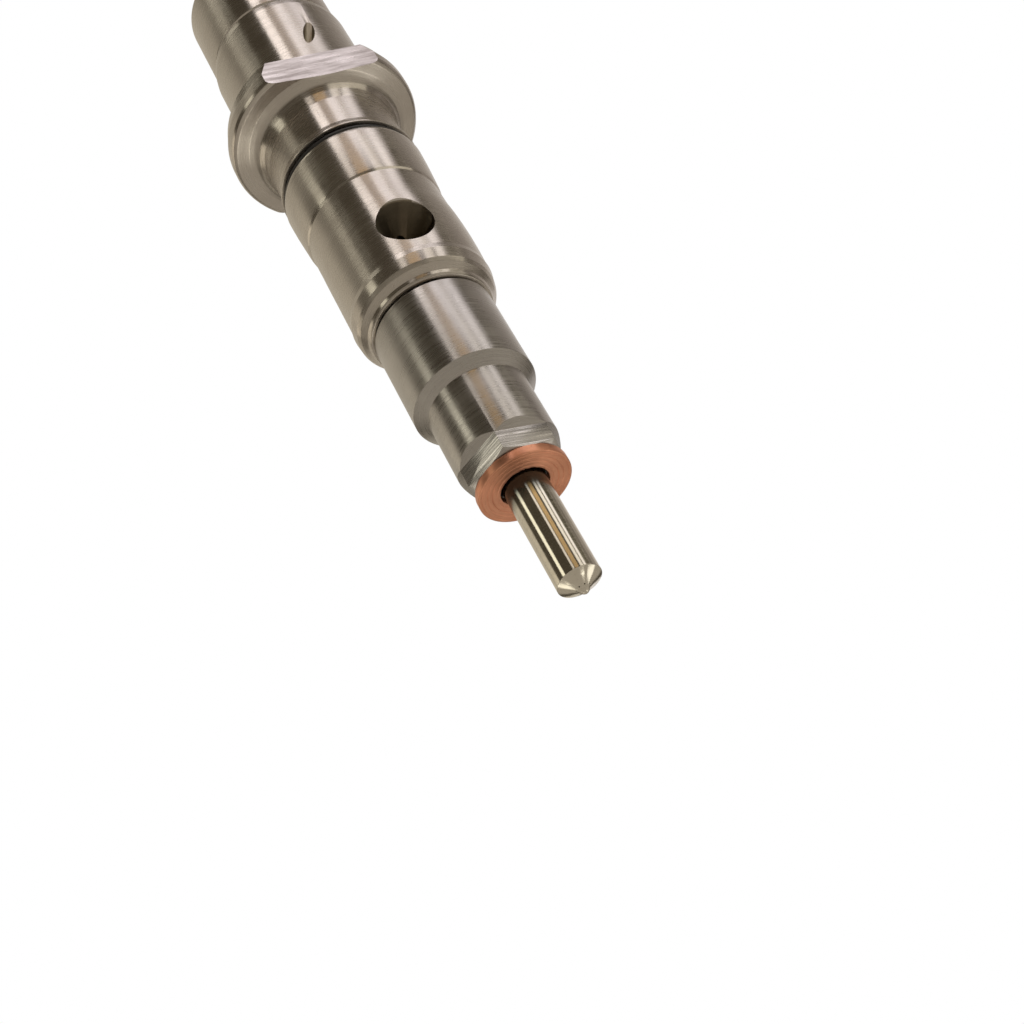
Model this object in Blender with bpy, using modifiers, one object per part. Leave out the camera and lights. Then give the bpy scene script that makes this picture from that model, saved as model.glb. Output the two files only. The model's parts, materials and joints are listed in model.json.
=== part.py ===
"""Common-rail fuel injector: nozzle group, body, control valve and solenoid, one solid per piece.

Frame: metres, +Z along the injector axis from the nozzle to the terminals.
The origin is the centre of the sealing washer's lower face, which seats in the cylinder head.
The fuel inlet faces -Y.
"""
import math

import bmesh
import bpy
from mathutils import Matrix, Vector

MM = 0.001
GAP = 0.3 * MM          # clearance between faces that touch on the real injector
RUNNING = 0.1 * MM      # radial clearance of a sliding fit
WELD = 0.000001         # merge distance on the turning axis

# Facets round a turned piece
FINE = 36
MEDIUM = 24
COARSE = 16

# Nozzle
SHAFT_R = 3.5 * MM
SHAFT_END_Z = -18.75 * MM
TIP_Z = -21.0 * MM
SAC_R = 0.55 * MM
SEAT_TOP_Z = -16.2 * MM
NOZZLE_SHOULDER_Z = 8.0 * MM
NOZZLE_HEAD_R = 7.0 * MM
NOZZLE_TOP_Z = 28.0 * MM
GUIDE_R = 2.05 * MM
GALLERY_R = 3.1 * MM
SHAFT_BORE_R = 1.75 * MM
SPRAY_HOLES = 8
SPRAY_HOLE_R = 0.11 * MM
SPRAY_DROP = 0.4         # fall of a spray hole per unit of its outward run
PIN_X = 5.0 * MM
LOCATING_PIN_R = 0.75 * MM

# Needle
NEEDLE_STEM_R = 1.25 * MM
PINTLE_R = 1.1 * MM
NEEDLE_SHOULDER_Z = 27.6 * MM

# Sealing washer
WASHER_R = 7.5 * MM
WASHER_BORE_R = 3.85 * MM
WASHER_T = 1.5 * MM

# Nozzle retaining nut
NUT_NOSE_Z = 1.6 * MM
NUT_NOSE_R = 7.2 * MM
NUT_SMALL_R = 8.33 * MM
NUT_LARGE_R = 10.2 * MM
NUT_SHAFT_BORE_R = 3.95 * MM
NUT_SEAT_Z = 7.6 * MM
NUT_CHAMFER_LOW_Z = 17.77 * MM
NUT_CHAMFER_HIGH_Z = 19.3 * MM
NUT_TOP_Z = 36.3 * MM
NUT_BORE_R = 7.3 * MM
NUT_THREAD_R = 8.8 * MM
NUT_THREAD_LOW_Z = 27.7 * MM
NUT_HEX_APOTHEM = 7.2 * MM
NUT_HEX_TOP_Z = 5.4 * MM
NUT_HEX_CORNER_DEG = -112.0

# Injector body
BODY_LOW_Z = NOZZLE_TOP_Z + GAP
BODY_THREAD_R = 8.6 * MM
RING_R = 12.3 * MM
RING_LOW_Z = NUT_TOP_Z + GAP
RING_HIGH_Z = 41.2 * MM
INLET_ZONE_R = 12.1 * MM
LAND_R = 12.9 * MM
LAND_LOW_R = 12.4 * MM
LAND_LOW_Z = 62.5 * MM
LAND_HIGH_Z = 73.6 * MM
GROOVE_R = 11.0 * MM
GROOVE_HIGH_Z = 75.2 * MM
NECK_R = 12.0 * MM
COLLAR_R = 17.35 * MM
COLLAR_FOOT_Z = 88.0 * MM
COLLAR_FLAT_Y = 14.0 * MM
CLAMP_SEAT_Z = 94.2 * MM
HEAD_R = 13.04 * MM
HEAD_TOP_Z = 114.3 * MM
BODY_TOP_Z = 121.3 * MM
BODY_TOP_THREAD_R = 10.9 * MM

# Bores in the body
SPRING_BORE_R = 3.6 * MM
SPRING_BORE_TOP_Z = 43.6 * MM
PISTON_BORE_R = 2.3 * MM
STEM_BORE_R = 5.2 * MM
STEM_BORE_LOW_Z = 83.0 * MM
VALVE_BORE_R = 8.6 * MM
VALVE_BORE_LOW_Z = 98.6 * MM
FEED_R = 0.9 * MM
FEED_Y = -5.6 * MM

# Fuel inlet
INLET_Z = 49.3 * MM
INLET_R = 4.75 * MM
INLET_FLOOR_Y = -10.4 * MM
INLET_SEAT_Y = -4.3 * MM
INLET_THROAT_R = 1.5 * MM
INLET_END_Y = -3.7 * MM

# Fuel return drilling: it runs down into the head at a small slope, a cross hole joins it to the valve bore
RETURN_R = 1.05 * MM
RETURN_MOUTH_Z = 102.4 * MM
RETURN_AZIMUTH_DEG = -81.0
RETURN_SLOPE_DEG = 18.0
RETURN_SLANT_DEG = 19.0
RETURN_DEPTH = 5.0 * MM
RETURN_CROSS_R = 0.6 * MM
RETURN_CROSS_Z = 100.2 * MM

# Closing spring and control piston
SPRING_SEAT_Z = 28.9 * MM
PISTON_R = PISTON_BORE_R - 2 * RUNNING
PISTON_ROD_R = 1.3 * MM

# Control valve, measured from the flange face of the valve piece
VALVE_Z = 98.9 * MM
VALVE_FLANGE_R = 8.3 * MM
VALVE_STEM_R = 4.2 * MM
BALL_R = 0.675 * MM
BALL_Z = VALVE_Z + 5.72 * MM
PIN_R = 1.45 * MM
PIN_BORE_R = 1.58 * MM

# Solenoid
CORE_LOW_Z = 118.4 * MM
CORE_HIGH_Z = 127.6 * MM
CORE_R = 7.6 * MM
COIL_IN_R = 3.6 * MM
COIL_OUT_R = 6.2 * MM
COIL_TOP_Z = 124.9 * MM
SOLENOID_NUT_R = 12.5 * MM
SOLENOID_NUT_TOP_Z = 131.5 * MM
SOLENOID_FLAT_Y = 11.3 * MM
SOLENOID_FLAT_LOW_Z = 123.0 * MM
SOLENOID_FLAT_HIGH_Z = 129.5 * MM
SOLENOID_NUT_LIP_Z = 130.4 * MM
HOUSING_R = 8.9 * MM
HOUSING_TOP_Z = 129.2 * MM
HOUSING_FLANGE_R = 10.3 * MM
HOUSING_FLANGE_LOW_Z = 122.7 * MM
HOUSING_FLANGE_HIGH_Z = 124.4 * MM
HOUSING_FOOT_Z = 118.9 * MM

# Terminals
TERMINAL_X = 4.4 * MM
STUD_R = 2.0 * MM
STUD_TOP_Z = 155.0 * MM
CAP_R = 8.6 * MM
CAP_TOP_Z = 141.0 * MM
CAP_FLANGE_R = 9.9 * MM
CAP_LOW_Z = 129.5 * MM
CAP_GROOVE_LOW_Z = 136.0 * MM
CAP_GROOVE_HIGH_Z = 138.6 * MM
STUD_LOW_Z = 131.2 * MM
STUD_PIN_R = 0.6 * MM
TERMINAL_NUT_APOTHEM = 3.5 * MM
TERMINAL_NUT_H = 3.2 * MM
TERMINAL_WASHER_R = 3.7 * MM
TERMINAL_WASHER_T = 0.8 * MM


def clear_scene():
    for obj in list(bpy.data.objects):
        bpy.data.objects.remove(obj, do_unlink=True)


def new_collection(name):
    collection = bpy.data.collections.new(name)
    bpy.context.scene.collection.children.link(collection)
    return collection


def make_material(name, color, roughness, metallic):
    material = bpy.data.materials.new(name)
    material.use_nodes = True
    shader = material.node_tree.nodes["Principled BSDF"]
    shader.inputs["Base Color"].default_value = (*color, 1.0)
    shader.inputs["Roughness"].default_value = roughness
    shader.inputs["Metallic"].default_value = metallic
    material.diffuse_color = (*color, 1.0)
    return material


clear_scene()
PARTS = new_collection("fuel_injector")
CUTTERS = new_collection("cutters")


def place(mesh, name, material=None, collection=PARTS):
    obj = bpy.data.objects.new(name, mesh)
    collection.objects.link(obj)
    if material is not None:
        mesh.materials.append(material)
    return obj


def as_cutter(obj):
    obj.hide_render = True
    obj.display_type = "WIRE"
    return obj


def turned(name, profile, steps, material=None, collection=PARTS, closed=False):
    """Turn a profile of (radius, z) points about Z.

    The points run down the outer side from the top. An open profile starts and ends on the axis.
    """
    mesh = bpy.data.meshes.new(name)
    points = [(radius, 0.0, z) for radius, z in profile]
    edges = [(i, i + 1) for i in range(len(points) - 1)]
    if closed:
        edges.append((len(points) - 1, 0))
    mesh.from_pydata(points, edges, [])
    obj = place(mesh, name, material, collection)
    screw = obj.modifiers.new("turn", "SCREW")
    screw.axis = "Z"
    screw.angle = math.tau
    screw.steps = steps
    screw.render_steps = steps
    screw.use_merge_vertices = True
    screw.merge_threshold = WELD
    screw.use_smooth_shade = True
    return obj


def ring(name, inner_r, outer_r, low_z, high_z, steps, material, edge=0.0):
    """A plain ring with an optional small chamfer on its four edges."""
    if edge == 0.0:
        profile = [(outer_r, high_z), (outer_r, low_z), (inner_r, low_z), (inner_r, high_z)]
    else:
        profile = [
            (outer_r - edge, high_z),
            (outer_r, high_z - edge),
            (outer_r, low_z + edge),
            (outer_r - edge, low_z),
            (inner_r + edge, low_z),
            (inner_r, low_z + edge),
            (inner_r, high_z - edge),
            (inner_r + edge, high_z),
        ]
    return turned(name, profile, steps, material, closed=True)


def cylinder_between(name, start, end, radius, sides=16, collection=CUTTERS):
    """A cylinder from one point to another."""
    start = Vector(start)
    end = Vector(end)
    axis = end - start
    turn = Vector((0.0, 0.0, 1.0)).rotation_difference(axis.normalized()).to_matrix().to_4x4()
    matrix = Matrix.Translation((start + end) / 2) @ turn
    bm = bmesh.new()
    bmesh.ops.create_cone(
        bm,
        cap_ends=True,
        cap_tris=False,
        segments=sides,
        radius1=radius,
        radius2=radius,
        depth=axis.length,
        matrix=matrix,
    )
    mesh = bpy.data.meshes.new(name)
    bm.to_mesh(mesh)
    bm.free()
    return as_cutter(place(mesh, name, collection=collection))


def box_cutter(name, boxes):
    """One cutter made of separate boxes, each given by its low and high corner."""
    bm = bmesh.new()
    for low, high in boxes:
        low = Vector(low)
        high = Vector(high)
        size = high - low
        matrix = Matrix.Translation((low + high) / 2) @ Matrix.Diagonal((*size, 1.0))
        bmesh.ops.create_cube(bm, size=1.0, matrix=matrix)
    mesh = bpy.data.meshes.new(name)
    bm.to_mesh(mesh)
    bm.free()
    return as_cutter(place(mesh, name, collection=CUTTERS))


def combine(obj, tool, operation="DIFFERENCE"):
    boolean = obj.modifiers.new(tool.name, "BOOLEAN")
    boolean.operation = operation
    boolean.solver = "EXACT"
    boolean.object = tool


def coil(name, mean_r, wire_r, low_z, high_z, turns, material, points_per_turn=10):
    """A helical spring whose wire centre runs between the two heights."""
    count = round(turns * points_per_turn)
    curve = bpy.data.curves.new(name, "CURVE")
    curve.dimensions = "3D"
    curve.bevel_depth = wire_r
    curve.bevel_resolution = 2
    curve.use_fill_caps = True
    spline = curve.splines.new("POLY")
    spline.points.add(count)
    for i in range(count + 1):
        angle = math.tau * turns * i / count
        z = low_z + (high_z - low_z) * i / count
        spline.points[i].co = (mean_r * math.cos(angle), mean_r * math.sin(angle), z, 1.0)
    obj = bpy.data.objects.new(name, curve)
    PARTS.objects.link(obj)
    curve.materials.append(material)
    return obj


def o_ring(name, major_r, minor_r, z, material):
    bpy.ops.mesh.primitive_torus_add(
        major_segments=MEDIUM,
        minor_segments=6,
        major_radius=major_r,
        minor_radius=minor_r,
        location=(0.0, 0.0, z),
    )
    obj = bpy.context.object
    obj.name = name
    for owner in list(obj.users_collection):
        owner.objects.unlink(obj)
    PARTS.objects.link(obj)
    obj.data.name = name
    obj.data.shade_smooth()
    obj.data.materials.append(material)
    return obj


STEEL = make_material("turned_steel", (0.42, 0.39, 0.34), 0.28, 1.0)
NUT_STEEL = make_material("brushed_nut_steel", (0.40, 0.39, 0.37), 0.38, 1.0)
NOZZLE_STEEL = make_material("ground_nozzle_steel", (0.50, 0.46, 0.39), 0.2, 1.0)
COPPER = make_material("washer_copper", (0.80, 0.42, 0.29), 0.35, 1.0)
HARD_STEEL = make_material("hardened_steel", (0.45, 0.45, 0.45), 0.25, 1.0)
SPRING_STEEL = make_material("spring_steel", (0.25, 0.25, 0.26), 0.35, 1.0)
SEAL_RUBBER = make_material("seal_rubber", (0.02, 0.02, 0.02), 0.6, 0.0)
CORE_IRON = make_material("core_iron", (0.20, 0.19, 0.18), 0.55, 1.0)
COIL_COPPER = make_material("coil_copper", (0.55, 0.22, 0.10), 0.35, 1.0)
BOBBIN_PLASTIC = make_material("bobbin_plastic", (0.55, 0.45, 0.28), 0.5, 0.0)
CAP_PLASTIC = make_material("cap_plastic", (0.03, 0.03, 0.03), 0.45, 0.0)
BRASS = make_material("terminal_brass", (0.70, 0.52, 0.25), 0.3, 1.0)
ZINC = make_material("zinc_plated_steel", (0.62, 0.62, 0.60), 0.3, 1.0)


# ---------------------------------------------------------------- nozzle group

def build_nozzle_body():
    bore = [
        (0.0, -19.9 * MM),
        (0.35 * MM, -19.75 * MM),
        (SAC_R, -19.4 * MM),
        (SAC_R, SEAT_TOP_Z - 2.08 * MM),
        (SHAFT_BORE_R, SEAT_TOP_Z),
        (SHAFT_BORE_R, 10.6 * MM),
        (GALLERY_R, 11.9 * MM),
        (GALLERY_R, 14.2 * MM),
        (GUIDE_R, 15.3 * MM),
        (GUIDE_R, NOZZLE_TOP_Z),
    ]
    outside = [
        (NOZZLE_HEAD_R, NOZZLE_TOP_Z),
        (NOZZLE_HEAD_R, NOZZLE_SHOULDER_Z + 2.2 * MM),
        (SHAFT_R, NOZZLE_SHOULDER_Z),
        (SHAFT_R, SHAFT_END_Z),
        (2.3 * MM, SHAFT_END_Z - 0.6 * MM),
        (1.5 * MM, SHAFT_END_Z - 1.1 * MM),
        (1.15 * MM, SHAFT_END_Z - 1.4 * MM),
        (0.97 * MM, SHAFT_END_Z - 1.78 * MM),
        (0.6 * MM, TIP_Z + 0.14 * MM),
        (0.25 * MM, TIP_Z + 0.02 * MM),
        (0.0, TIP_Z),
    ]
    nozzle = turned("nozzle_body", bore + outside, MEDIUM, NOZZLE_STEEL)
    for i in range(SPRAY_HOLES):
        angle = math.tau * i / SPRAY_HOLES
        outward = Vector((math.cos(angle), math.sin(angle), -SPRAY_DROP))
        start = Vector((0.0, 0.0, -19.55 * MM)) + outward * 0.3 * MM
        hole = cylinder_between(
            f"spray_hole_{i + 1}", start, start + outward * 1.6 * MM, SPRAY_HOLE_R, sides=6
        )
        combine(nozzle, hole)
    feed = cylinder_between(
        "nozzle_feed",
        (0.0, FEED_Y, NOZZLE_TOP_Z + 1.0 * MM),
        (0.0, -1.9 * MM, 12.6 * MM),
        0.8 * MM,
        sides=12,
    )
    combine(nozzle, feed)
    for side in (-1, 1):
        pocket = cylinder_between(
            f"nozzle_pin_hole_{side}",
            (side * PIN_X, 0.0, NOZZLE_TOP_Z - 2.8 * MM),
            (side * PIN_X, 0.0, NOZZLE_TOP_Z + 1.0 * MM),
            LOCATING_PIN_R + RUNNING,
            sides=12,
        )
        combine(nozzle, pocket)


def build_needle():
    """Needle valve with its seat cone at the foot and a short pintle on top."""
    profile = [
        (0.0, NEEDLE_SHOULDER_Z + 2.0 * MM),
        (PINTLE_R, NEEDLE_SHOULDER_Z + 2.0 * MM),
        (PINTLE_R, NEEDLE_SHOULDER_Z),
        (GUIDE_R - RUNNING, NEEDLE_SHOULDER_Z),
        (GUIDE_R - RUNNING, 15.6 * MM),
        (NEEDLE_STEM_R, 14.6 * MM),
        (NEEDLE_STEM_R, SEAT_TOP_Z + 0.65 * MM),
        (0.62 * MM, SEAT_TOP_Z - 1.2 * MM),
        (0.45 * MM, SEAT_TOP_Z - 1.75 * MM),
        (0.0, SEAT_TOP_Z - 2.2 * MM),
    ]
    turned("needle_valve", profile, COARSE, HARD_STEEL)


def build_washer():
    ring("sealing_washer", WASHER_BORE_R, WASHER_R, 0.0, WASHER_T, FINE, COPPER, edge=0.12 * MM)


def build_retaining_nut():
    profile = [
        (NUT_LARGE_R - 0.3 * MM, NUT_TOP_Z),
        (NUT_LARGE_R, NUT_TOP_Z - 0.3 * MM),
        (NUT_LARGE_R, NUT_CHAMFER_HIGH_Z),
        (NUT_SMALL_R, NUT_CHAMFER_LOW_Z),
        (NUT_SMALL_R, NUT_NOSE_Z + 0.6 * MM),
        (NUT_NOSE_R, NUT_NOSE_Z),
        (NUT_SHAFT_BORE_R, NUT_NOSE_Z),
        (NUT_SHAFT_BORE_R, NUT_SEAT_Z),
        (NUT_BORE_R, NUT_SEAT_Z + 2.2 * MM),
        (NUT_BORE_R, NUT_THREAD_LOW_Z),
        (NUT_THREAD_R, NUT_THREAD_LOW_Z),
        (NUT_THREAD_R, NUT_TOP_Z),
    ]
    nut = turned("nozzle_retaining_nut", profile, FINE, NUT_STEEL, closed=True)
    depth = 4.0 * MM
    low_z = -1.0 * MM
    height = NUT_HEX_TOP_Z - low_z
    for i in range(6):
        bm = bmesh.new()
        bmesh.ops.create_cube(
            bm, size=1.0, matrix=Matrix.Diagonal((depth, 14.0 * MM, height, 1.0))
        )
        for vert in bm.verts:
            vert.co.x += NUT_HEX_APOTHEM + depth / 2
            vert.co.z += low_z + height / 2
            if vert.co.x > NUT_HEX_APOTHEM + depth / 2 and vert.co.z > 0.0:
                vert.co.z += depth
        turn = math.radians(NUT_HEX_CORNER_DEG + 30.0 + 60.0 * i)
        bmesh.ops.rotate(bm, verts=bm.verts, cent=(0, 0, 0), matrix=Matrix.Rotation(turn, 3, "Z"))
        mesh = bpy.data.meshes.new(f"hex_flat_{i + 1}")
        bm.to_mesh(mesh)
        bm.free()
        combine(nut, as_cutter(place(mesh, f"hex_flat_{i + 1}", collection=CUTTERS)))


def build_locating_pins():
    for number, side in ((1, -1), (2, 1)):
        pin = turned(
            f"locating_pin_{number}",
            [
                (0.0, NOZZLE_TOP_Z + 2.6 * MM),
                (LOCATING_PIN_R, NOZZLE_TOP_Z + 2.6 * MM),
                (LOCATING_PIN_R, NOZZLE_TOP_Z - 2.4 * MM),
                (0.0, NOZZLE_TOP_Z - 2.4 * MM),
            ],
            12,
            HARD_STEEL,
        )
        pin.location = (side * PIN_X, 0.0, 0.0)


# ---------------------------------------------------------------- body

def body_profile():
    """Outer side of the body from its upper thread down to its lower one, then up through its bore."""
    outer = [
        (BODY_TOP_THREAD_R - 0.4 * MM, BODY_TOP_Z),
        (BODY_TOP_THREAD_R, BODY_TOP_Z - 0.4 * MM),
        (BODY_TOP_THREAD_R, HEAD_TOP_Z),
        (HEAD_R - 0.45 * MM, HEAD_TOP_Z),
        (HEAD_R - 0.15 * MM, HEAD_TOP_Z - 0.6 * MM),
        (HEAD_R, HEAD_TOP_Z - 1.8 * MM),
        (HEAD_R, CLAMP_SEAT_Z + 1.1 * MM),
        (HEAD_R + 0.3 * MM, CLAMP_SEAT_Z + 0.3 * MM),
        (HEAD_R + 1.1 * MM, CLAMP_SEAT_Z),
        (COLLAR_R - 0.85 * MM, CLAMP_SEAT_Z),
        (COLLAR_R - 0.65 * MM, CLAMP_SEAT_Z - 0.7 * MM),
        (COLLAR_R, COLLAR_FOOT_Z + 3.2 * MM),
        (COLLAR_R, COLLAR_FOOT_Z + 1.3 * MM),
        (COLLAR_R - 0.2 * MM, COLLAR_FOOT_Z + 0.6 * MM),
        (COLLAR_R - 0.7 * MM, COLLAR_FOOT_Z + 0.15 * MM),
    ]
    lower = [
        (NECK_R + 2.1 * MM, COLLAR_FOOT_Z - 0.1 * MM),
        (NECK_R + 1.3 * MM, COLLAR_FOOT_Z - 0.5 * MM),
        (NECK_R + 0.7 * MM, COLLAR_FOOT_Z - 1.2 * MM),
        (NECK_R + 0.25 * MM, COLLAR_FOOT_Z - 2.2 * MM),
        (NECK_R, COLLAR_FOOT_Z - 3.6 * MM),
        (NECK_R, GROOVE_HIGH_Z + 2.0 * MM),
        (NECK_R + 0.3 * MM, GROOVE_HIGH_Z + 1.1 * MM),
        (NECK_R + 0.75 * MM, GROOVE_HIGH_Z + 0.4 * MM),
        (NECK_R + 0.75 * MM, GROOVE_HIGH_Z),
        (GROOVE_R, GROOVE_HIGH_Z),
        (GROOVE_R, LAND_HIGH_Z),
        (LAND_R - 0.5 * MM, LAND_HIGH_Z),
        (LAND_R, LAND_HIGH_Z - 0.6 * MM),
        (LAND_LOW_R, LAND_LOW_Z + 0.9 * MM),
        (INLET_ZONE_R, LAND_LOW_Z - 0.3 * MM),
        (INLET_ZONE_R, RING_HIGH_Z + 0.8 * MM),
        (RING_R, RING_HIGH_Z),
        (RING_R - 0.2 * MM, RING_HIGH_Z - 1.9 * MM),
        (RING_R - 0.6 * MM, RING_HIGH_Z - 2.6 * MM),
        (RING_R - 1.1 * MM, RING_HIGH_Z - 3.2 * MM),
        (RING_R - 1.45 * MM, RING_HIGH_Z - 3.7 * MM),
        (RING_R - 1.6 * MM, RING_LOW_Z + 0.3 * MM),
        (RING_R - 1.8 * MM, RING_LOW_Z),
        (BODY_THREAD_R, RING_LOW_Z),
        (BODY_THREAD_R, BODY_LOW_Z + 0.5 * MM),
        (BODY_THREAD_R - 0.5 * MM, BODY_LOW_Z),
    ]
    bore = [
        (SPRING_BORE_R, BODY_LOW_Z),
        (SPRING_BORE_R, SPRING_BORE_TOP_Z),
        (PISTON_BORE_R, SPRING_BORE_TOP_Z),
        (PISTON_BORE_R, STEM_BORE_LOW_Z),
        (STEM_BORE_R, STEM_BORE_LOW_Z),
        (STEM_BORE_R, VALVE_BORE_LOW_Z),
        (VALVE_BORE_R, VALVE_BORE_LOW_Z),
        (VALVE_BORE_R, BODY_TOP_Z),
    ]
    return outer + lower + bore


def build_body():
    body = turned("injector_body", body_profile(), FINE, STEEL, closed=True)
    cut_collar_flats(body)
    build_inlet(body)
    feed = cylinder_between(
        "feed_drilling",
        (0.0, FEED_Y, BODY_LOW_Z - 1.0 * MM),
        (0.0, FEED_Y, STEM_BORE_LOW_Z + 4.0 * MM),
        FEED_R,
        sides=12,
    )
    combine(body, feed)
    for side in (-1, 1):
        pocket = cylinder_between(
            f"body_pin_hole_{side}",
            (side * PIN_X, 0.0, BODY_LOW_Z - 1.0 * MM),
            (side * PIN_X, 0.0, BODY_LOW_Z + 2.7 * MM),
            LOCATING_PIN_R + RUNNING,
            sides=12,
        )
        combine(body, pocket)
    build_return(body)


def cut_collar_flats(body):
    """Two parallel flats, milled over the whole height of the collar."""
    far = 30.0 * MM
    flats = []
    for side in (-1, 1):
        low_y, high_y = sorted((side * COLLAR_FLAT_Y, side * far))
        flats.append(((-far, low_y, COLLAR_FOOT_Z - 1.0 * MM), (far, high_y, CLAMP_SEAT_Z + 1.0 * MM)))
    combine(body, box_cutter("collar_flats", flats))


def build_return(body):
    """The return drilling and the cross hole that joins it to the valve bore."""
    azimuth = math.radians(RETURN_AZIMUTH_DEG)
    slope = math.radians(RETURN_SLOPE_DEG)
    slant = math.radians(RETURN_SLANT_DEG)
    outward = Vector((math.cos(azimuth), math.sin(azimuth), 0.0))
    across = Vector((-math.sin(azimuth), math.cos(azimuth), 0.0))
    upright = Vector((0.0, 0.0, 1.0))
    mouth = outward * HEAD_R + upright * RETURN_MOUTH_Z
    surface = upright * math.cos(slant) + across * math.sin(slant)
    along = outward * math.sin(slope) + surface * math.cos(slope)
    start = mouth + along * 3 * RETURN_DEPTH
    end = mouth - along * RETURN_DEPTH
    combine(body, cylinder_between("return_drilling", start, end, RETURN_R, sides=20))
    inside = outward * (VALVE_BORE_R - 1.0 * MM) + upright * RETURN_CROSS_Z
    meet = mouth + along * ((RETURN_CROSS_Z - RETURN_MOUTH_Z) / along.z)
    combine(body, cylinder_between("return_cross_hole", inside, meet, RETURN_CROSS_R, sides=12))


def build_inlet(body):
    """Side inlet: a socket, a conical sealing seat and a throat into the feed drilling."""
    profile = [
        (0.0, INLET_ZONE_R + 4.0 * MM),
        (INLET_R + 0.35 * MM, INLET_ZONE_R + 4.0 * MM),
        (INLET_R + 0.35 * MM, INLET_ZONE_R - 0.1 * MM),
        (INLET_R, INLET_ZONE_R - 0.55 * MM),
        (INLET_R, -INLET_FLOOR_Y),
        (INLET_THROAT_R, -INLET_SEAT_Y),
        (INLET_THROAT_R, -INLET_END_Y),
        (0.0, -INLET_END_Y),
    ]
    socket = as_cutter(turned("inlet_socket", profile, 32, collection=CUTTERS))
    socket.rotation_euler = (math.radians(90.0), 0.0, 0.0)
    socket.location = (0.0, 0.0, INLET_Z)
    combine(body, socket)


# ---------------------------------------------------------------- closing spring and piston

def build_spring_group():
    rod_bore_r = PISTON_ROD_R + 0.15 * MM
    pintle_bore_r = PINTLE_R + 0.15 * MM
    turned(
        "spring_seat",
        [
            (rod_bore_r, SPRING_SEAT_Z + 2.2 * MM),
            (3.2 * MM, SPRING_SEAT_Z + 2.2 * MM),
            (3.2 * MM, SPRING_SEAT_Z),
            (pintle_bore_r, SPRING_SEAT_Z),
            (pintle_bore_r, SPRING_SEAT_Z + 1.0 * MM),
            (rod_bore_r, SPRING_SEAT_Z + 1.0 * MM),
        ],
        COARSE,
        HARD_STEEL,
        closed=True,
    )
    coil("nozzle_spring", 2.75 * MM, 0.45 * MM, 31.65 * MM, 41.6 * MM, 5.0, SPRING_STEEL)
    ring("spring_shim", 1.7 * MM, 3.4 * MM, 42.15 * MM, 43.45 * MM, COARSE, HARD_STEEL)
    turned(
        "control_piston",
        [
            (0.0, VALVE_Z - 0.9 * MM),
            (PISTON_R - 0.3 * MM, VALVE_Z - 0.9 * MM),
            (PISTON_R, VALVE_Z - 1.2 * MM),
            (PISTON_R, 46.0 * MM),
            (PISTON_ROD_R, 44.5 * MM),
            (PISTON_ROD_R, 30.0 * MM),
            (0.0, 30.0 * MM),
        ],
        COARSE,
        HARD_STEEL,
    )


# ---------------------------------------------------------------- control valve

def build_valve_piece():
    turned(
        "valve_piece",
        [
            (2.2 * MM, VALVE_Z + 5.4 * MM),
            (3.0 * MM, VALVE_Z + 4.9 * MM),
            (3.0 * MM, VALVE_Z + 4.5 * MM),
            (VALVE_FLANGE_R, VALVE_Z + 4.5 * MM),
            (VALVE_FLANGE_R, VALVE_Z),
            (VALVE_STEM_R, VALVE_Z),
            (VALVE_STEM_R, VALVE_Z - 13.5 * MM),
            (PISTON_BORE_R, VALVE_Z - 13.5 * MM),
            (PISTON_BORE_R, VALVE_Z - 0.2 * MM),
            (0.4 * MM, VALVE_Z + 0.6 * MM),
            (0.4 * MM, VALVE_Z + 4.9 * MM),
            (0.75 * MM, VALVE_Z + 5.4 * MM),
        ],
        MEDIUM,
        HARD_STEEL,
        closed=True,
    )
    ring(
        "valve_seal_ring",
        2.6 * MM,
        4.3 * MM,
        STEM_BORE_LOW_Z + 0.3 * MM,
        VALVE_Z - 13.8 * MM,
        COARSE,
        HARD_STEEL,
        edge=0.2 * MM,
    )


def build_ball_group():
    bpy.ops.mesh.primitive_uv_sphere_add(
        segments=14, ring_count=8, radius=BALL_R, location=(0.0, 0.0, BALL_Z)
    )
    ball = bpy.context.object
    ball.name = "valve_ball"
    for owner in list(ball.users_collection):
        owner.objects.unlink(ball)
    PARTS.objects.link(ball)
    ball.data.shade_smooth()
    ball.data.materials.append(HARD_STEEL)
    low_z = BALL_Z + 0.28 * MM
    turned(
        "ball_holder",
        [
            (0.0, low_z + 1.6 * MM),
            (1.3 * MM, low_z + 1.6 * MM),
            (1.3 * MM, low_z + 0.2 * MM),
            (1.1 * MM, low_z),
            (0.75 * MM, low_z),
            (0.75 * MM, low_z + 0.5 * MM),
            (0.0, low_z + 0.5 * MM),
        ],
        COARSE,
        HARD_STEEL,
    )


def build_armature_guide():
    turned(
        "armature_guide",
        [
            (3.4 * MM, VALVE_Z + 12.0 * MM),
            (3.4 * MM, VALVE_Z + 7.4 * MM),
            (8.2 * MM, VALVE_Z + 7.4 * MM),
            (8.2 * MM, VALVE_Z + 4.8 * MM),
            (3.5 * MM, VALVE_Z + 4.8 * MM),
            (3.5 * MM, VALVE_Z + 6.3 * MM),
            (PIN_BORE_R, VALVE_Z + 6.3 * MM),
            (PIN_BORE_R, VALVE_Z + 12.0 * MM),
        ],
        MEDIUM,
        HARD_STEEL,
        closed=True,
    )


def build_clamping_screw():
    low_z = VALVE_Z + 7.6 * MM
    high_z = VALVE_Z + 12.4 * MM
    screw = ring("valve_clamping_screw", 4.4 * MM, 8.4 * MM, low_z, high_z, MEDIUM, NUT_STEEL)
    slots = []
    for side in (-1, 1):
        low_x, high_x = sorted((side * 3.0 * MM, side * 12.0 * MM))
        slots.append(((low_x, -1.2 * MM, high_z - 1.5 * MM), (high_x, 1.2 * MM, high_z + 1.0 * MM)))
    combine(screw, box_cutter("drive_slots", slots))


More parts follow.
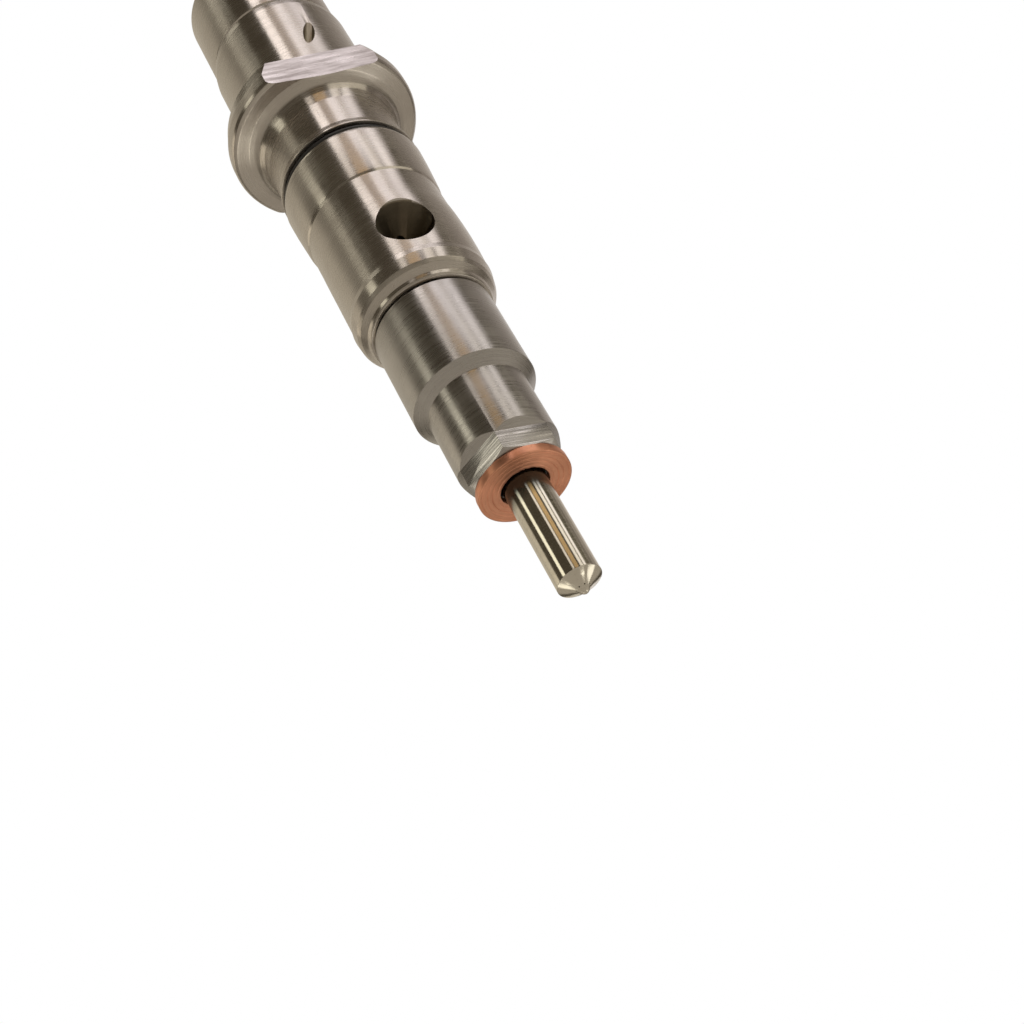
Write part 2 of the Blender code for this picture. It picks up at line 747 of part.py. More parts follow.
def build_armature():
    guide_top = VALVE_Z + 12.0 * MM
    plate_low = VALVE_Z + 16.9 * MM
    plate_high = CORE_LOW_Z - 0.3 * MM
    turned(
        "armature_pin",
        [
            (0.0, plate_high + 2.0 * MM),
            (PIN_R - 0.3 * MM, plate_high + 2.0 * MM),
            (PIN_R, plate_high + 1.7 * MM),
            (PIN_R, plate_high + 1.25 * MM),
            (0.95 * MM, plate_high + 1.25 * MM),
            (0.95 * MM, plate_high + 0.2 * MM),
            (PIN_R, plate_high + 0.2 * MM),
            (PIN_R, BALL_Z + 2.1 * MM),
            (0.0, BALL_Z + 2.1 * MM),
        ],
        COARSE,
        HARD_STEEL,
    )
    plate = ring("armature_plate", PIN_BORE_R, 7.4 * MM, plate_low, plate_high, MEDIUM, CORE_IRON)
    for i in range(4):
        angle = math.radians(45.0 + 90.0 * i)
        centre = Vector((math.cos(angle), math.sin(angle), 0.0)) * 4.9 * MM
        hole = cylinder_between(
            f"plate_hole_{i + 1}",
            centre + Vector((0.0, 0.0, plate_low - 1.0 * MM)),
            centre + Vector((0.0, 0.0, plate_high + 1.0 * MM)),
            1.1 * MM,
            sides=12,
        )
        combine(plate, hole)
    clip = ring(
        "armature_clip",
        1.05 * MM,
        2.2 * MM,
        plate_high + 0.35 * MM,
        plate_high + 1.1 * MM,
        COARSE,
        SPRING_STEEL,
    )
    opening = box_cutter(
        "clip_gap", [((0.0, -0.7 * MM, plate_high), (4.0 * MM, 0.7 * MM, plate_high + 2.0 * MM))]
    )
    combine(clip, opening)
    coil(
        "armature_spring",
        2.5 * MM,
        0.28 * MM,
        guide_top + 0.4 * MM,
        plate_low - 0.4 * MM,
        2.5,
        SPRING_STEEL,
        points_per_turn=10,
    )


# ---------------------------------------------------------------- solenoid

def build_magnet():
    core = turned(
        "magnet_core",
        [
            (CORE_R, CORE_HIGH_Z),
            (CORE_R, CORE_LOW_Z),
            (COIL_OUT_R, CORE_LOW_Z),
            (COIL_OUT_R, COIL_TOP_Z),
            (COIL_IN_R, COIL_TOP_Z),
            (COIL_IN_R, CORE_LOW_Z),
            (2.5 * MM, CORE_LOW_Z),
            (2.5 * MM, CORE_HIGH_Z),
        ],
        MEDIUM,
        CORE_IRON,
        closed=True,
    )
    for side in (-1, 1):
        hole = cylinder_between(
            f"lead_hole_{side}",
            (side * TERMINAL_X, 0.0, COIL_TOP_Z - 1.0 * MM),
            (side * TERMINAL_X, 0.0, CORE_HIGH_Z + 1.0 * MM),
            0.95 * MM,
            sides=12,
        )
        combine(core, hole)
    wall = 0.3 * MM
    inner = COIL_IN_R + 0.15 * MM
    outer = COIL_OUT_R - 0.15 * MM
    low_z = CORE_LOW_Z + 0.3 * MM
    high_z = COIL_TOP_Z - 0.2 * MM
    turned(
        "coil_bobbin",
        [
            (outer, high_z),
            (outer, high_z - wall),
            (inner + wall, high_z - wall),
            (inner + wall, low_z + wall),
            (outer, low_z + wall),
            (outer, low_z),
            (inner, low_z),
            (inner, high_z),
        ],
        MEDIUM,
        BOBBIN_PLASTIC,
        closed=True,
    )
    ring(
        "coil_winding",
        inner + wall + 0.08 * MM,
        outer - 0.05 * MM,
        low_z + wall + 0.08 * MM,
        high_z - wall - 0.08 * MM,
        MEDIUM,
        COIL_COPPER,
    )
    coil("valve_spring", 1.75 * MM, 0.35 * MM, 120.9 * MM, 125.9 * MM, 4.0, SPRING_STEEL)
    turned(
        "valve_spring_shim",
        [
            (0.0, CORE_HIGH_Z - 0.1 * MM),
            (2.3 * MM, CORE_HIGH_Z - 0.1 * MM),
            (2.3 * MM, 126.5 * MM),
            (0.0, 126.5 * MM),
        ],
        COARSE,
        HARD_STEEL,
    )


def build_magnet_housing():
    """Sleeve round the core, a flange on the lift shim and a top plate with two lead holes."""
    housing = turned(
        "magnet_housing",
        [
            (0.0, HOUSING_TOP_Z),
            (HOUSING_R - 0.2 * MM, HOUSING_TOP_Z),
            (HOUSING_R, HOUSING_TOP_Z - 0.2 * MM),
            (HOUSING_R, HOUSING_FLANGE_HIGH_Z),
            (HOUSING_FLANGE_R, HOUSING_FLANGE_HIGH_Z),
            (HOUSING_FLANGE_R, HOUSING_FLANGE_LOW_Z),
            (VALVE_BORE_R - 0.2 * MM, HOUSING_FLANGE_LOW_Z),
            (VALVE_BORE_R - 0.2 * MM, HOUSING_FOOT_Z),
            (CORE_R + 0.2 * MM, HOUSING_FOOT_Z),
            (CORE_R + 0.2 * MM, CORE_HIGH_Z + 0.3 * MM),
            (0.0, CORE_HIGH_Z + 0.3 * MM),
        ],
        MEDIUM,
        NUT_STEEL,
    )
    for side in (-1, 1):
        hole = cylinder_between(
            f"housing_lead_hole_{side}",
            (side * TERMINAL_X, 0.0, CORE_HIGH_Z - 1.0 * MM),
            (side * TERMINAL_X, 0.0, HOUSING_TOP_Z + 1.0 * MM),
            1.1 * MM,
            sides=12,
        )
        combine(housing, hole)
    shim_high_z = HOUSING_FLANGE_LOW_Z - GAP
    ring("lift_shim", 8.75 * MM, 10.2 * MM, BODY_TOP_Z + GAP, shim_high_z, MEDIUM, HARD_STEEL)
    o_ring("solenoid_seal_ring", 9.75 * MM, 0.7 * MM, 125.3 * MM, SEAL_RUBBER)


def build_solenoid_nut():
    profile = [
        (SOLENOID_NUT_R - 0.5 * MM, SOLENOID_NUT_TOP_Z),
        (SOLENOID_NUT_R, SOLENOID_NUT_TOP_Z - 0.5 * MM),
        (SOLENOID_NUT_R, HEAD_TOP_Z + 0.5 * MM),
        (SOLENOID_NUT_R - 0.2 * MM, HEAD_TOP_Z + 0.3 * MM),
        (BODY_TOP_THREAD_R + 0.15 * MM, HEAD_TOP_Z + 0.3 * MM),
        (BODY_TOP_THREAD_R + 0.15 * MM, BODY_TOP_Z + 0.5 * MM),
        (HOUSING_FLANGE_R + 0.3 * MM, BODY_TOP_Z + 0.8 * MM),
        (HOUSING_FLANGE_R + 0.3 * MM, SOLENOID_NUT_LIP_Z),
        (CAP_R + 0.2 * MM, SOLENOID_NUT_LIP_Z),
        (CAP_R + 0.2 * MM, SOLENOID_NUT_TOP_Z),
    ]
    nut = turned("solenoid_retaining_nut", profile, FINE, STEEL, closed=True)
    far = 30.0 * MM
    flats = []
    for side in (-1, 1):
        low_y, high_y = sorted((side * SOLENOID_FLAT_Y, side * far))
        flats.append(((-far, low_y, SOLENOID_FLAT_LOW_Z), (far, high_y, SOLENOID_FLAT_HIGH_Z)))
    combine(nut, box_cutter("spanner_flats", flats))


# ---------------------------------------------------------------- terminals

def build_terminal_cap():
    cap = turned(
        "terminal_cap",
        [
            (0.0, CAP_TOP_Z),
            (CAP_R - 0.5 * MM, CAP_TOP_Z),
            (CAP_R, CAP_TOP_Z - 0.5 * MM),
            (CAP_R, CAP_GROOVE_HIGH_Z),
            (CAP_R - 0.7 * MM, CAP_GROOVE_HIGH_Z - 0.4 * MM),
            (CAP_R - 0.7 * MM, CAP_GROOVE_LOW_Z + 0.4 * MM),
            (CAP_R, CAP_GROOVE_LOW_Z),
            (CAP_R, CAP_LOW_Z + 0.65 * MM),
            (CAP_FLANGE_R, CAP_LOW_Z + 0.65 * MM),
            (CAP_FLANGE_R, CAP_LOW_Z),
            (0.0, CAP_LOW_Z),
        ],
        MEDIUM,
        CAP_PLASTIC,
    )
    wall = box_cutter(
        "cap_wall",
        [((-0.45 * MM, -7.2 * MM, CAP_TOP_Z - 1.0 * MM), (0.45 * MM, 7.2 * MM, CAP_TOP_Z + 2.2 * MM))],
    )
    combine(cap, wall, "UNION")
    for side in (-1, 1):
        x = side * TERMINAL_X
        bore = cylinder_between(
            f"stud_bore_{side}",
            (x, 0.0, STUD_LOW_Z - 0.2 * MM),
            (x, 0.0, CAP_TOP_Z + 1.0 * MM),
            STUD_R + 0.12 * MM,
            sides=20,
        )
        pin_hole = cylinder_between(
            f"stud_pin_hole_{side}",
            (x, 0.0, CAP_LOW_Z - 1.0 * MM),
            (x, 0.0, STUD_LOW_Z + 0.3 * MM),
            STUD_PIN_R + 0.15 * MM,
            sides=12,
        )
        combine(cap, bore)
        combine(cap, pin_hole)


def build_terminals():
    washer_z = CAP_TOP_Z + 0.2 * MM
    nut_z = washer_z + TERMINAL_WASHER_T + 0.15 * MM
    for number, side in ((1, -1), (2, 1)):
        x = side * TERMINAL_X
        stud = turned(
            f"terminal_stud_{number}",
            [
                (0.0, STUD_TOP_Z),
                (STUD_R - 0.5 * MM, STUD_TOP_Z),
                (STUD_R, STUD_TOP_Z - 0.5 * MM),
                (STUD_R, STUD_LOW_Z),
                (STUD_PIN_R, STUD_LOW_Z),
                (STUD_PIN_R, COIL_TOP_Z + 0.1 * MM),
                (0.0, COIL_TOP_Z + 0.1 * MM),
            ],
            COARSE,
            BRASS,
        )
        stud.location = (x, 0.0, 0.0)
        washer = ring(
            f"terminal_washer_{number}",
            STUD_R + 0.15 * MM,
            TERMINAL_WASHER_R,
            washer_z,
            washer_z + TERMINAL_WASHER_T,
            COARSE,
            ZINC,
        )
        washer.location = (x, 0.0, 0.0)
        build_terminal_nut(number, x, nut_z)


def build_terminal_nut(number, x, low_z):
    """Hexagon nut: a turned blank with chamfered rims, cut by a six-sided prism."""
    corner_r = TERMINAL_NUT_APOTHEM / math.cos(math.radians(30.0))
    high_z = low_z + TERMINAL_NUT_H
    nut = ring(
        f"terminal_nut_{number}",
        STUD_R + RUNNING,
        corner_r,
        low_z,
        high_z,
        18,
        ZINC,
        edge=0.3 * MM,
    )
    bm = bmesh.new()
    bmesh.ops.create_cone(
        bm,
        cap_ends=True,
        segments=6,
        radius1=corner_r,
        radius2=corner_r,
        depth=TERMINAL_NUT_H * 2,
        matrix=Matrix.Translation((0.0, 0.0, (low_z + high_z) / 2)),
    )
    mesh = bpy.data.meshes.new(f"hexagon_{number}")
    bm.to_mesh(mesh)
    bm.free()
    hexagon = as_cutter(place(mesh, f"hexagon_{number}", collection=CUTTERS))
    combine(nut, hexagon, "INTERSECT")
    nut.location = (x, 0.0, 0.0)
    hexagon.location = (x, 0.0, 0.0)


build_nozzle_body()
build_needle()
build_washer()
build_retaining_nut()
build_locating_pins()
build_body()
o_ring("body_seal_ring", 11.75 * MM, 0.62 * MM, (LAND_HIGH_Z + GROOVE_HIGH_Z) / 2, SEAL_RUBBER)
build_spring_group()
build_valve_piece()
build_ball_group()
build_armature_guide()
build_clamping_screw()
build_armature()
build_magnet()
build_magnet_housing()
build_solenoid_nut()
build_terminal_cap()
build_terminals()
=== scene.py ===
"""Looks of the fuel injector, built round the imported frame.

Profiles are (radius, z) points in millimetres.
"""

import json
import math

import bmesh
import bpy
from mathutils import Matrix, Vector, noise


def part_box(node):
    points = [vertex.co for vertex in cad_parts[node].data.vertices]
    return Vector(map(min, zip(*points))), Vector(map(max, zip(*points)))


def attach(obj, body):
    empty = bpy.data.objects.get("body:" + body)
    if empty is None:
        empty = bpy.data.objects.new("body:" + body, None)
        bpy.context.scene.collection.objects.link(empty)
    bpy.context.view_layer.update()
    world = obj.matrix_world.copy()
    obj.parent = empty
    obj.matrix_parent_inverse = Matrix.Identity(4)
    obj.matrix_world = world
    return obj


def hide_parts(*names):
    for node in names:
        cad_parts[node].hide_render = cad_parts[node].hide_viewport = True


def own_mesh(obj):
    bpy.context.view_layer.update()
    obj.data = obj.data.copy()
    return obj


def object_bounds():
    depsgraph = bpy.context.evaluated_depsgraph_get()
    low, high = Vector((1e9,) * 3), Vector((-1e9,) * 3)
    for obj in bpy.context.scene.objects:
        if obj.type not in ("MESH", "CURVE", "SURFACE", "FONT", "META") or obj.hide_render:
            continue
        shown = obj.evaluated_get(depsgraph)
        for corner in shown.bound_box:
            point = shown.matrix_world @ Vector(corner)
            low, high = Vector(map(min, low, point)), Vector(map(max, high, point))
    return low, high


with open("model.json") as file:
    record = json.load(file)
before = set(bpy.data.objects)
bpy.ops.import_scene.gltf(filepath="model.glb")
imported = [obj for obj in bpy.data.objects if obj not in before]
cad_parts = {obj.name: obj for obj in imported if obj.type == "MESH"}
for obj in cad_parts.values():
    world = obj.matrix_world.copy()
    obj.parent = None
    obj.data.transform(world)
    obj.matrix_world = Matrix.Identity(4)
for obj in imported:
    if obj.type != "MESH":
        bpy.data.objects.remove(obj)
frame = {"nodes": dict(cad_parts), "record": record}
cad_low, cad_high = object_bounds()

MM = 0.001
ROUND = 224            # facets round the large turned pieces
SMALL_ROUND = 96       # facets round the small ones
SMOOTH_DEG = 38.0      # edges sharper than this stay crisp
BEVEL_DEG = 42.0       # edges sharper than this are eased
STRAIGHT_DEG = 6.0     # a profile corner flatter than this stays a point
SIDE_SHARE = 0.45      # most of a side that one corner's arc takes up
CUT_REACH = 30.0       # half width of a cutting box, farther out than any piece


# ---------------------------------------------------------------- places from the frame

def station(node):
    """Lowest z, highest z and greatest radius along X of a node, in millimetres."""
    low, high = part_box(node)
    return low[2] / MM, high[2] / MM, (high[0] - low[0]) / 2 / MM


def centre_of(node):
    """Middle of a node's box seen from above, in metres."""
    low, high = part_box(node)
    return Vector(((low[0] + high[0]) / 2, (low[1] + high[1]) / 2, 0.0))


WASHER_LOW, WASHER_HIGH, WASHER_R = station("sealing_washer")
NOZZLE_LOW, NOZZLE_HIGH, NOZZLE_R = station("nozzle_body")
NUT_LOW, NUT_HIGH, NUT_R = station("nozzle_retaining_nut")
BODY_LOW, BODY_HIGH, _ = station("injector_body")
SEAL_LOW, SEAL_HIGH, SEAL_R = station("body_seal_ring")
TOP_NUT_LOW, TOP_NUT_HIGH, TOP_NUT_R = station("solenoid_retaining_nut")
CAP_LOW, CAP_HIGH, CAP_FLANGE_R = station("terminal_cap")
CAP_R = CAP_FLANGE_R - 1.3


# ---------------------------------------------------------------- mesh helpers

def add_object(name, mesh):
    obj = bpy.data.objects.new(name, mesh)
    bpy.context.scene.collection.objects.link(obj)
    return obj


def rounded(points, radius=0.12, steps=3, closed=False):
    """Profile with each corner turned into a small arc. A point's third number is its own radius."""
    count = len(points)
    result = []
    for i, point in enumerate(points):
        here = Vector(point[:2])
        size = point[2] if len(point) > 2 else radius
        if (not closed and i in (0, count - 1)) or size <= 0.0:
            result.append(tuple(here))
            continue
        before = Vector(points[i - 1][:2])
        after = Vector(points[(i + 1) % count][:2])
        back = before - here
        ahead = after - here
        angle = back.angle(ahead)
        if math.pi - angle < math.radians(STRAIGHT_DEG):
            result.append(tuple(here))
            continue
        reach = min(size / math.tan(angle / 2), back.length * SIDE_SHARE, ahead.length * SIDE_SHARE)
        start = here + back.normalized() * reach
        end = here + ahead.normalized() * reach
        for k in range(steps + 1):
            t = k / steps
            blend = (1 - t) ** 2 * start + 2 * t * (1 - t) * here + t ** 2 * end
            result.append(tuple(blend))
    return result


def arc(centre_r, centre_z, radius, start_deg, end_deg, count):
    """Points along a circle's arc, for use in a profile."""
    points = []
    for i in range(count + 1):
        angle = math.radians(start_deg + (end_deg - start_deg) * i / count)
        points.append((centre_r + radius * math.cos(angle), centre_z + radius * math.sin(angle)))
    return points


def lathe(name, profile, segments=ROUND, closed=True, shape=None):
    """Turns a profile about Z. shape(angle, r, z) may return a changed (r, z)."""
    bm = bmesh.new()
    rings = []
    for r, z in profile:
        if r < 1e-6:
            rings.append([bm.verts.new((0.0, 0.0, z * MM))])
            continue
        ring = []
        for i in range(segments):
            angle = math.tau * i / segments
            radius, height = shape(angle, r, z) if shape else (r, z)
            ring.append(
                bm.verts.new((radius * MM * math.cos(angle), radius * MM * math.sin(angle), height * MM))
            )
        rings.append(ring)
    pairs = list(zip(rings, rings[1:]))
    if closed:
        pairs.append((rings[-1], rings[0]))
    for a, b in pairs:
        if len(a) == 1 and len(b) == 1:
            continue
        for i in range(segments):
            j = (i + 1) % segments
            if len(a) == 1:
                bm.faces.new((a[0], b[i], b[j]))
            elif len(b) == 1:
                bm.faces.new((a[i], b[0], a[j]))
            else:
                bm.faces.new((a[i], b[i], b[j], a[j]))
    bmesh.ops.recalc_face_normals(bm, faces=bm.faces)
    mesh = bpy.data.meshes.new(name)
    bm.to_mesh(mesh)
    bm.free()
    return add_object(name, mesh)


def prism(name, outline, low, high):
    """Upright prism over an outline of (x, y) points, all in millimetres."""
    bm = bmesh.new()
    bottom = [bm.verts.new((x * MM, y * MM, low * MM)) for x, y in outline]
    top = [bm.verts.new((x * MM, y * MM, high * MM)) for x, y in outline]
    bm.faces.new(list(reversed(bottom)))
    bm.faces.new(top)
    for i in range(len(outline)):
        j = (i + 1) % len(outline)
        bm.faces.new((bottom[i], bottom[j], top[j], top[i]))
    bmesh.ops.recalc_face_normals(bm, faces=bm.faces)
    mesh = bpy.data.meshes.new(name)
    bm.to_mesh(mesh)
    bm.free()
    return add_object(name, mesh)


def box(name, low, high):
    outline = [(low[0], low[1]), (high[0], low[1]), (high[0], high[1]), (low[0], high[1])]
    return prism(name, outline, low[2], high[2])


def rod(name, start, end, radius, sides=48):
    """Cylinder between two points, in millimetres."""
    start = Vector(start) * MM
    end = Vector(end) * MM
    axis = end - start
    turn = Vector((0.0, 0.0, 1.0)).rotation_difference(axis.normalized()).to_matrix().to_4x4()
    bm = bmesh.new()
    bmesh.ops.create_cone(
        bm,
        cap_ends=True,
        segments=sides,
        radius1=radius * MM,
        radius2=radius * MM,
        depth=axis.length,
        matrix=Matrix.Translation((start + end) / 2) @ turn,
    )
    mesh = bpy.data.meshes.new(name)
    bm.to_mesh(mesh)
    bm.free()
    return add_object(name, mesh)


def settle(obj):
    """Turns an object's modifiers into its mesh."""
    graph = bpy.context.evaluated_depsgraph_get()
    mesh = bpy.data.meshes.new_from_object(obj.evaluated_get(graph))
    obj.modifiers.clear()
    obj.data = mesh


def cut(obj, tool, operation="DIFFERENCE"):
    modifier = obj.modifiers.new("cut", "BOOLEAN")
    modifier.operation = operation
    modifier.solver = "EXACT"
    modifier.object = tool
    settle(obj)
    bpy.data.objects.remove(tool)


def ease(obj, width):
    """Small bevel on the sharp edges, such as those that the cuts left."""
    modifier = obj.modifiers.new("ease", "BEVEL")
    modifier.width = width * MM
    modifier.segments = 2
    modifier.limit_method = "ANGLE"
    modifier.angle_limit = math.radians(BEVEL_DEG)
    modifier.miter_outer = "MITER_ARC"
    settle(obj)


def dress(obj, material, nodes=(), body="injector"):
    """Smooth shading, material and body, and hides the CAD nodes that the piece stands for."""
    mesh = obj.data
    mesh.materials.clear()
    mesh.materials.append(material)
    mesh.shade_smooth()
    mesh.set_sharp_from_angle(angle=math.radians(SMOOTH_DEG))
    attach(obj, body)
    if nodes:
        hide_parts(*nodes)
    return obj


# ---------------------------------------------------------------- materials

class Tree:
    """Short hands for building a node tree."""

    def __init__(self, name):
        self.material = bpy.data.materials.new(name)
        self.material.use_nodes = True
        self.tree = self.material.node_tree
        self.shader = self.tree.nodes["Principled BSDF"]
        self.coords = self.node("ShaderNodeTexCoord").outputs["Object"]
        parts = self.node("ShaderNodeSeparateXYZ")
        self.link(self.coords, parts.inputs[0])
        self.x, self.y, self.z = parts.outputs
        self.radius = self.math("SQRT", self.math("ADD", self.math("MULTIPLY", self.x, self.x),
                                                  self.math("MULTIPLY", self.y, self.y)))

    def node(self, kind):
        return self.tree.nodes.new(kind)

    def link(self, output, socket):
        self.tree.links.new(output, socket)

    def feed(self, value, socket):
        if isinstance(value, (int, float, tuple)):
            socket.default_value = value
        else:
            self.link(value, socket)

    def math(self, operation, a, b=0.0, clamp=False):
        node = self.node("ShaderNodeMath")
        node.operation = operation
        node.use_clamp = clamp
        self.feed(a, node.inputs[0])
        self.feed(b, node.inputs[1])
        return node.outputs[0]

    def vector(self, x, y, z):
        node = self.node("ShaderNodeCombineXYZ")
        for value, socket in zip((x, y, z), node.inputs):
            self.feed(value, socket)
        return node.outputs[0]

    def stretched(self, across, along, height=None):
        """Coordinates scaled by one number across the axis and by another along it."""
        return self.vector(
            self.math("MULTIPLY", self.x, across),
            self.math("MULTIPLY", self.y, across),
            self.math("MULTIPLY", self.z if height is None else height, along),
        )

    def noise(self, vector, scale, detail=2.0, roughness=0.5):
        node = self.node("ShaderNodeTexNoise")
        self.link(vector, node.inputs["Vector"])
        node.inputs["Scale"].default_value = scale
        node.inputs["Detail"].default_value = detail
        node.inputs["Roughness"].default_value = roughness
        return node.outputs["Fac"]

    def spread(self, value, low, high, to_low=0.0, to_high=1.0):
        """Maps a range of a value onto another, clamped."""
        node = self.node("ShaderNodeMapRange")
        self.link(value, node.inputs["Value"])
        limits = {"From Min": low, "From Max": high, "To Min": to_low, "To Max": to_high}
        for socket, number in limits.items():
            node.inputs[socket].default_value = number
        return node.outputs["Result"]

    def mix(self, factor, a, b):
        node = self.node("ShaderNodeMix")
        node.data_type = "RGBA"
        self.feed(factor, node.inputs["Factor"])
        self.feed(a, node.inputs["A"])
        self.feed(b, node.inputs["B"])
        return next(o for o in node.outputs if o.type == "RGBA")

    def bump(self, height, depth_mm):
        """Bumps the shading by a height pattern, in which 1 stands for depth_mm."""
        node = self.node("ShaderNodeBump")
        self.link(height, node.inputs["Height"])
        node.inputs["Strength"].default_value = 1.0
        node.inputs["Distance"].default_value = depth_mm * MM
        self.link(node.outputs["Normal"], self.shader.inputs["Normal"])

    def spread_along_axis(self, grain):
        """Turning marks run round Z, so they spread reflections along it."""
        tangent = self.node("ShaderNodeTangent")
        tangent.direction_type = "RADIAL"
        tangent.axis = "Z"
        self.link(tangent.outputs["Tangent"], self.shader.inputs["Tangent"])
        self.shader.inputs["Anisotropic"].default_value = grain
        self.shader.inputs["Anisotropic Rotation"].default_value = 0.25


def rgba(color):
    return (*color, 1.0)


def turned_metal(name, light, dark, roughness, line_mm=0.16, line_depth=0.0012, spin=90.0,
                 stain=0.5, scratch=0.35, rough_spread=0.12, darkening_by_height=None, grain=0.85):
    """Turned or ground metal: rings of tool marks about Z, cloudy tone, fine scratches and small pits.

    line_mm and line_depth are the marks' spacing and depth, and spin is how fast they change round the
    axis. darkening_by_height is (low z, high z, colour) of a darker tone that blends in from the low z and
    is full at the high one and above.
    """
    t = Tree(name)
    across = t.math("ADD", t.z, t.math("MULTIPLY", t.radius, 1.37))
    lines = t.noise(t.stretched(spin, 1.0 / (line_mm * MM), across), 1.0, 3.0, 0.6)
    broad_rings = t.noise(t.stretched(40.0, 700.0, across), 1.0, 2.0)
    clouds = t.noise(t.coords, 140.0, 4.0, 0.6)
    specks = t.spread(t.noise(t.coords, 2600.0, 2.0), 0.66, 0.78)
    streaks = t.noise(t.stretched(1500.0, 90.0), 1.0, 2.0)
    scratches = t.spread(streaks, 0.68, 0.74)
    tone = t.math("ADD", t.math("MULTIPLY", t.spread(clouds, 0.35, 0.65), stain),
                  t.math("MULTIPLY", t.spread(lines, 0.3, 0.7), 1.0 - stain))
    color = t.mix(tone, rgba(dark), rgba(light))
    color = t.mix(t.math("MULTIPLY", specks, 0.35), color, rgba(tuple(c * 0.35 for c in dark)))
    # Darker with height: the colour turns into the given tone from the low z to full at the high one.
    if darkening_by_height is not None:
        low, high, dark_tone = darkening_by_height
        level = t.math("ADD", t.z, t.math("MULTIPLY", t.math("SUBTRACT", clouds, 0.5), 0.003))
        color = t.mix(t.spread(level, low * MM, high * MM), color, rgba(dark_tone))
    t.link(color, t.shader.inputs["Base Color"])
    half_spread = rough_spread / 2
    rough = t.math("ADD", t.spread(lines, 0.25, 0.75, roughness - half_spread, roughness + half_spread),
                   t.math("MULTIPLY", t.math("SUBTRACT", clouds, 0.5), rough_spread))
    rough = t.math("ADD", rough, t.math("MULTIPLY", scratches, 0.1 * scratch), clamp=True)
    t.link(rough, t.shader.inputs["Roughness"])
    height = t.math("ADD", lines, t.math("MULTIPLY", broad_rings, 0.8))
    height = t.math("SUBTRACT", height, t.math("MULTIPLY", scratches, scratch))
    height = t.math("SUBTRACT", height, t.math("MULTIPLY", specks, 0.5))
    t.bump(height, depth_mm=line_depth)
    t.shader.inputs["Metallic"].default_value = 1.0
    t.spread_along_axis(grain)
    return t.material


def brushed_flat_metal(name, light, dark, roughness, run=130.0, streaks=900.0):
    """Milled flat: fine straight marks along the cut, with bright and dull streaks and a few pits.

    run and streaks are how fine the pattern is along the cut and across it.
    """
    t = Tree(name)
    sway = t.math("MULTIPLY", t.noise(t.coords, 90.0, 1.0), 0.0005)
    height_z = t.math("ADD", t.z, sway)
    marks = t.noise(t.stretched(run, 5200.0, height_z), 1.0, 4.0, 0.65)
    zones = t.noise(t.stretched(run, streaks, height_z), 1.0, 3.0, 0.6)
    grain = t.noise(t.coords, 3600.0, 2.0)
    tone = t.math("ADD", t.math("MULTIPLY", t.spread(zones, 0.36, 0.62), 0.6),
                  t.math("MULTIPLY", t.spread(marks, 0.35, 0.7), 0.4))
    color = t.mix(tone, rgba(dark), rgba(light))
    pits = t.math("MULTIPLY", t.spread(grain, 0.64, 0.74), 0.4)
    color = t.mix(pits, color, rgba(tuple(c * 0.4 for c in dark)))
    t.link(color, t.shader.inputs["Base Color"])
    t.link(t.spread(zones, 0.3, 0.7, roughness + 0.12, roughness - 0.08), t.shader.inputs["Roughness"])
    height = t.math("ADD", marks, t.math("MULTIPLY", grain, 0.5))
    t.bump(height, depth_mm=0.007)
    t.shader.inputs["Metallic"].default_value = 1.0
    return t.material


def wire_metal(name, light, dark, roughness):
    """Drawn wire or sintered part: mottled tone with a fine grain."""
    t = Tree(name)
    clouds = t.noise(t.coords, 420.0, 4.0, 0.6)
    grain = t.noise(t.coords, 4200.0, 2.0)
    t.link(t.mix(t.spread(clouds, 0.35, 0.65), rgba(dark), rgba(light)), t.shader.inputs["Base Color"])
    t.link(t.spread(grain, 0.3, 0.7, roughness - 0.07, roughness + 0.1), t.shader.inputs["Roughness"])
    t.bump(grain, depth_mm=0.004)
    t.shader.inputs["Metallic"].default_value = 1.0
    return t.material


def winding_metal(name, light, dark):
    """Enamelled wire wound in layers: fine ridges about Z."""
    t = Tree(name)
    wave = t.math("SINE", t.math("MULTIPLY", t.math("ADD", t.z, t.radius), math.tau / (0.2 * MM)))
    clouds = t.noise(t.coords, 700.0, 3.0)
    t.link(t.mix(t.spread(t.math("ADD", t.math("MULTIPLY", wave, 0.3), clouds), 0.2, 0.8),
                 rgba(dark), rgba(light)), t.shader.inputs["Base Color"])
    t.link(t.spread(clouds, 0.3, 0.7, 0.28, 0.42), t.shader.inputs["Roughness"])
    t.bump(wave, depth_mm=0.03)
    t.shader.inputs["Metallic"].default_value = 1.0
    return t.material


def moulded(name, light, dark, roughness):
    """Moulded plastic or rubber: fine eroded grain, cloudy sheen and dusty scuffs."""
    grain_mm = 0.12
    dusty = tuple(min(c * 2.2 + 0.02, 1.0) for c in light)
    t = Tree(name)
    clouds = t.noise(t.coords, 220.0, 4.0, 0.6)
    grain = t.noise(t.coords, 1.0 / (grain_mm * MM), 3.0, 0.6)
    scuffs = t.spread(t.noise(
        t.vector(t.math("MULTIPLY", t.x, 260.0), t.math("MULTIPLY", t.y, 900.0),
                 t.math("MULTIPLY", t.z, 1400.0)), 1.0, 3.0), 0.62, 0.75)
    color = t.mix(t.spread(clouds, 0.35, 0.65), rgba(dark), rgba(light))
    color = t.mix(t.math("MULTIPLY", scuffs, 0.3), color, rgba(dusty))
    t.link(color, t.shader.inputs["Base Color"])
    t.link(t.math("ADD", t.spread(clouds, 0.3, 0.7, roughness - 0.06, roughness + 0.06),
                  t.math("MULTIPLY", scuffs, 0.12), clamp=True), t.shader.inputs["Roughness"])
    t.bump(grain, depth_mm=0.008)
    return t.material


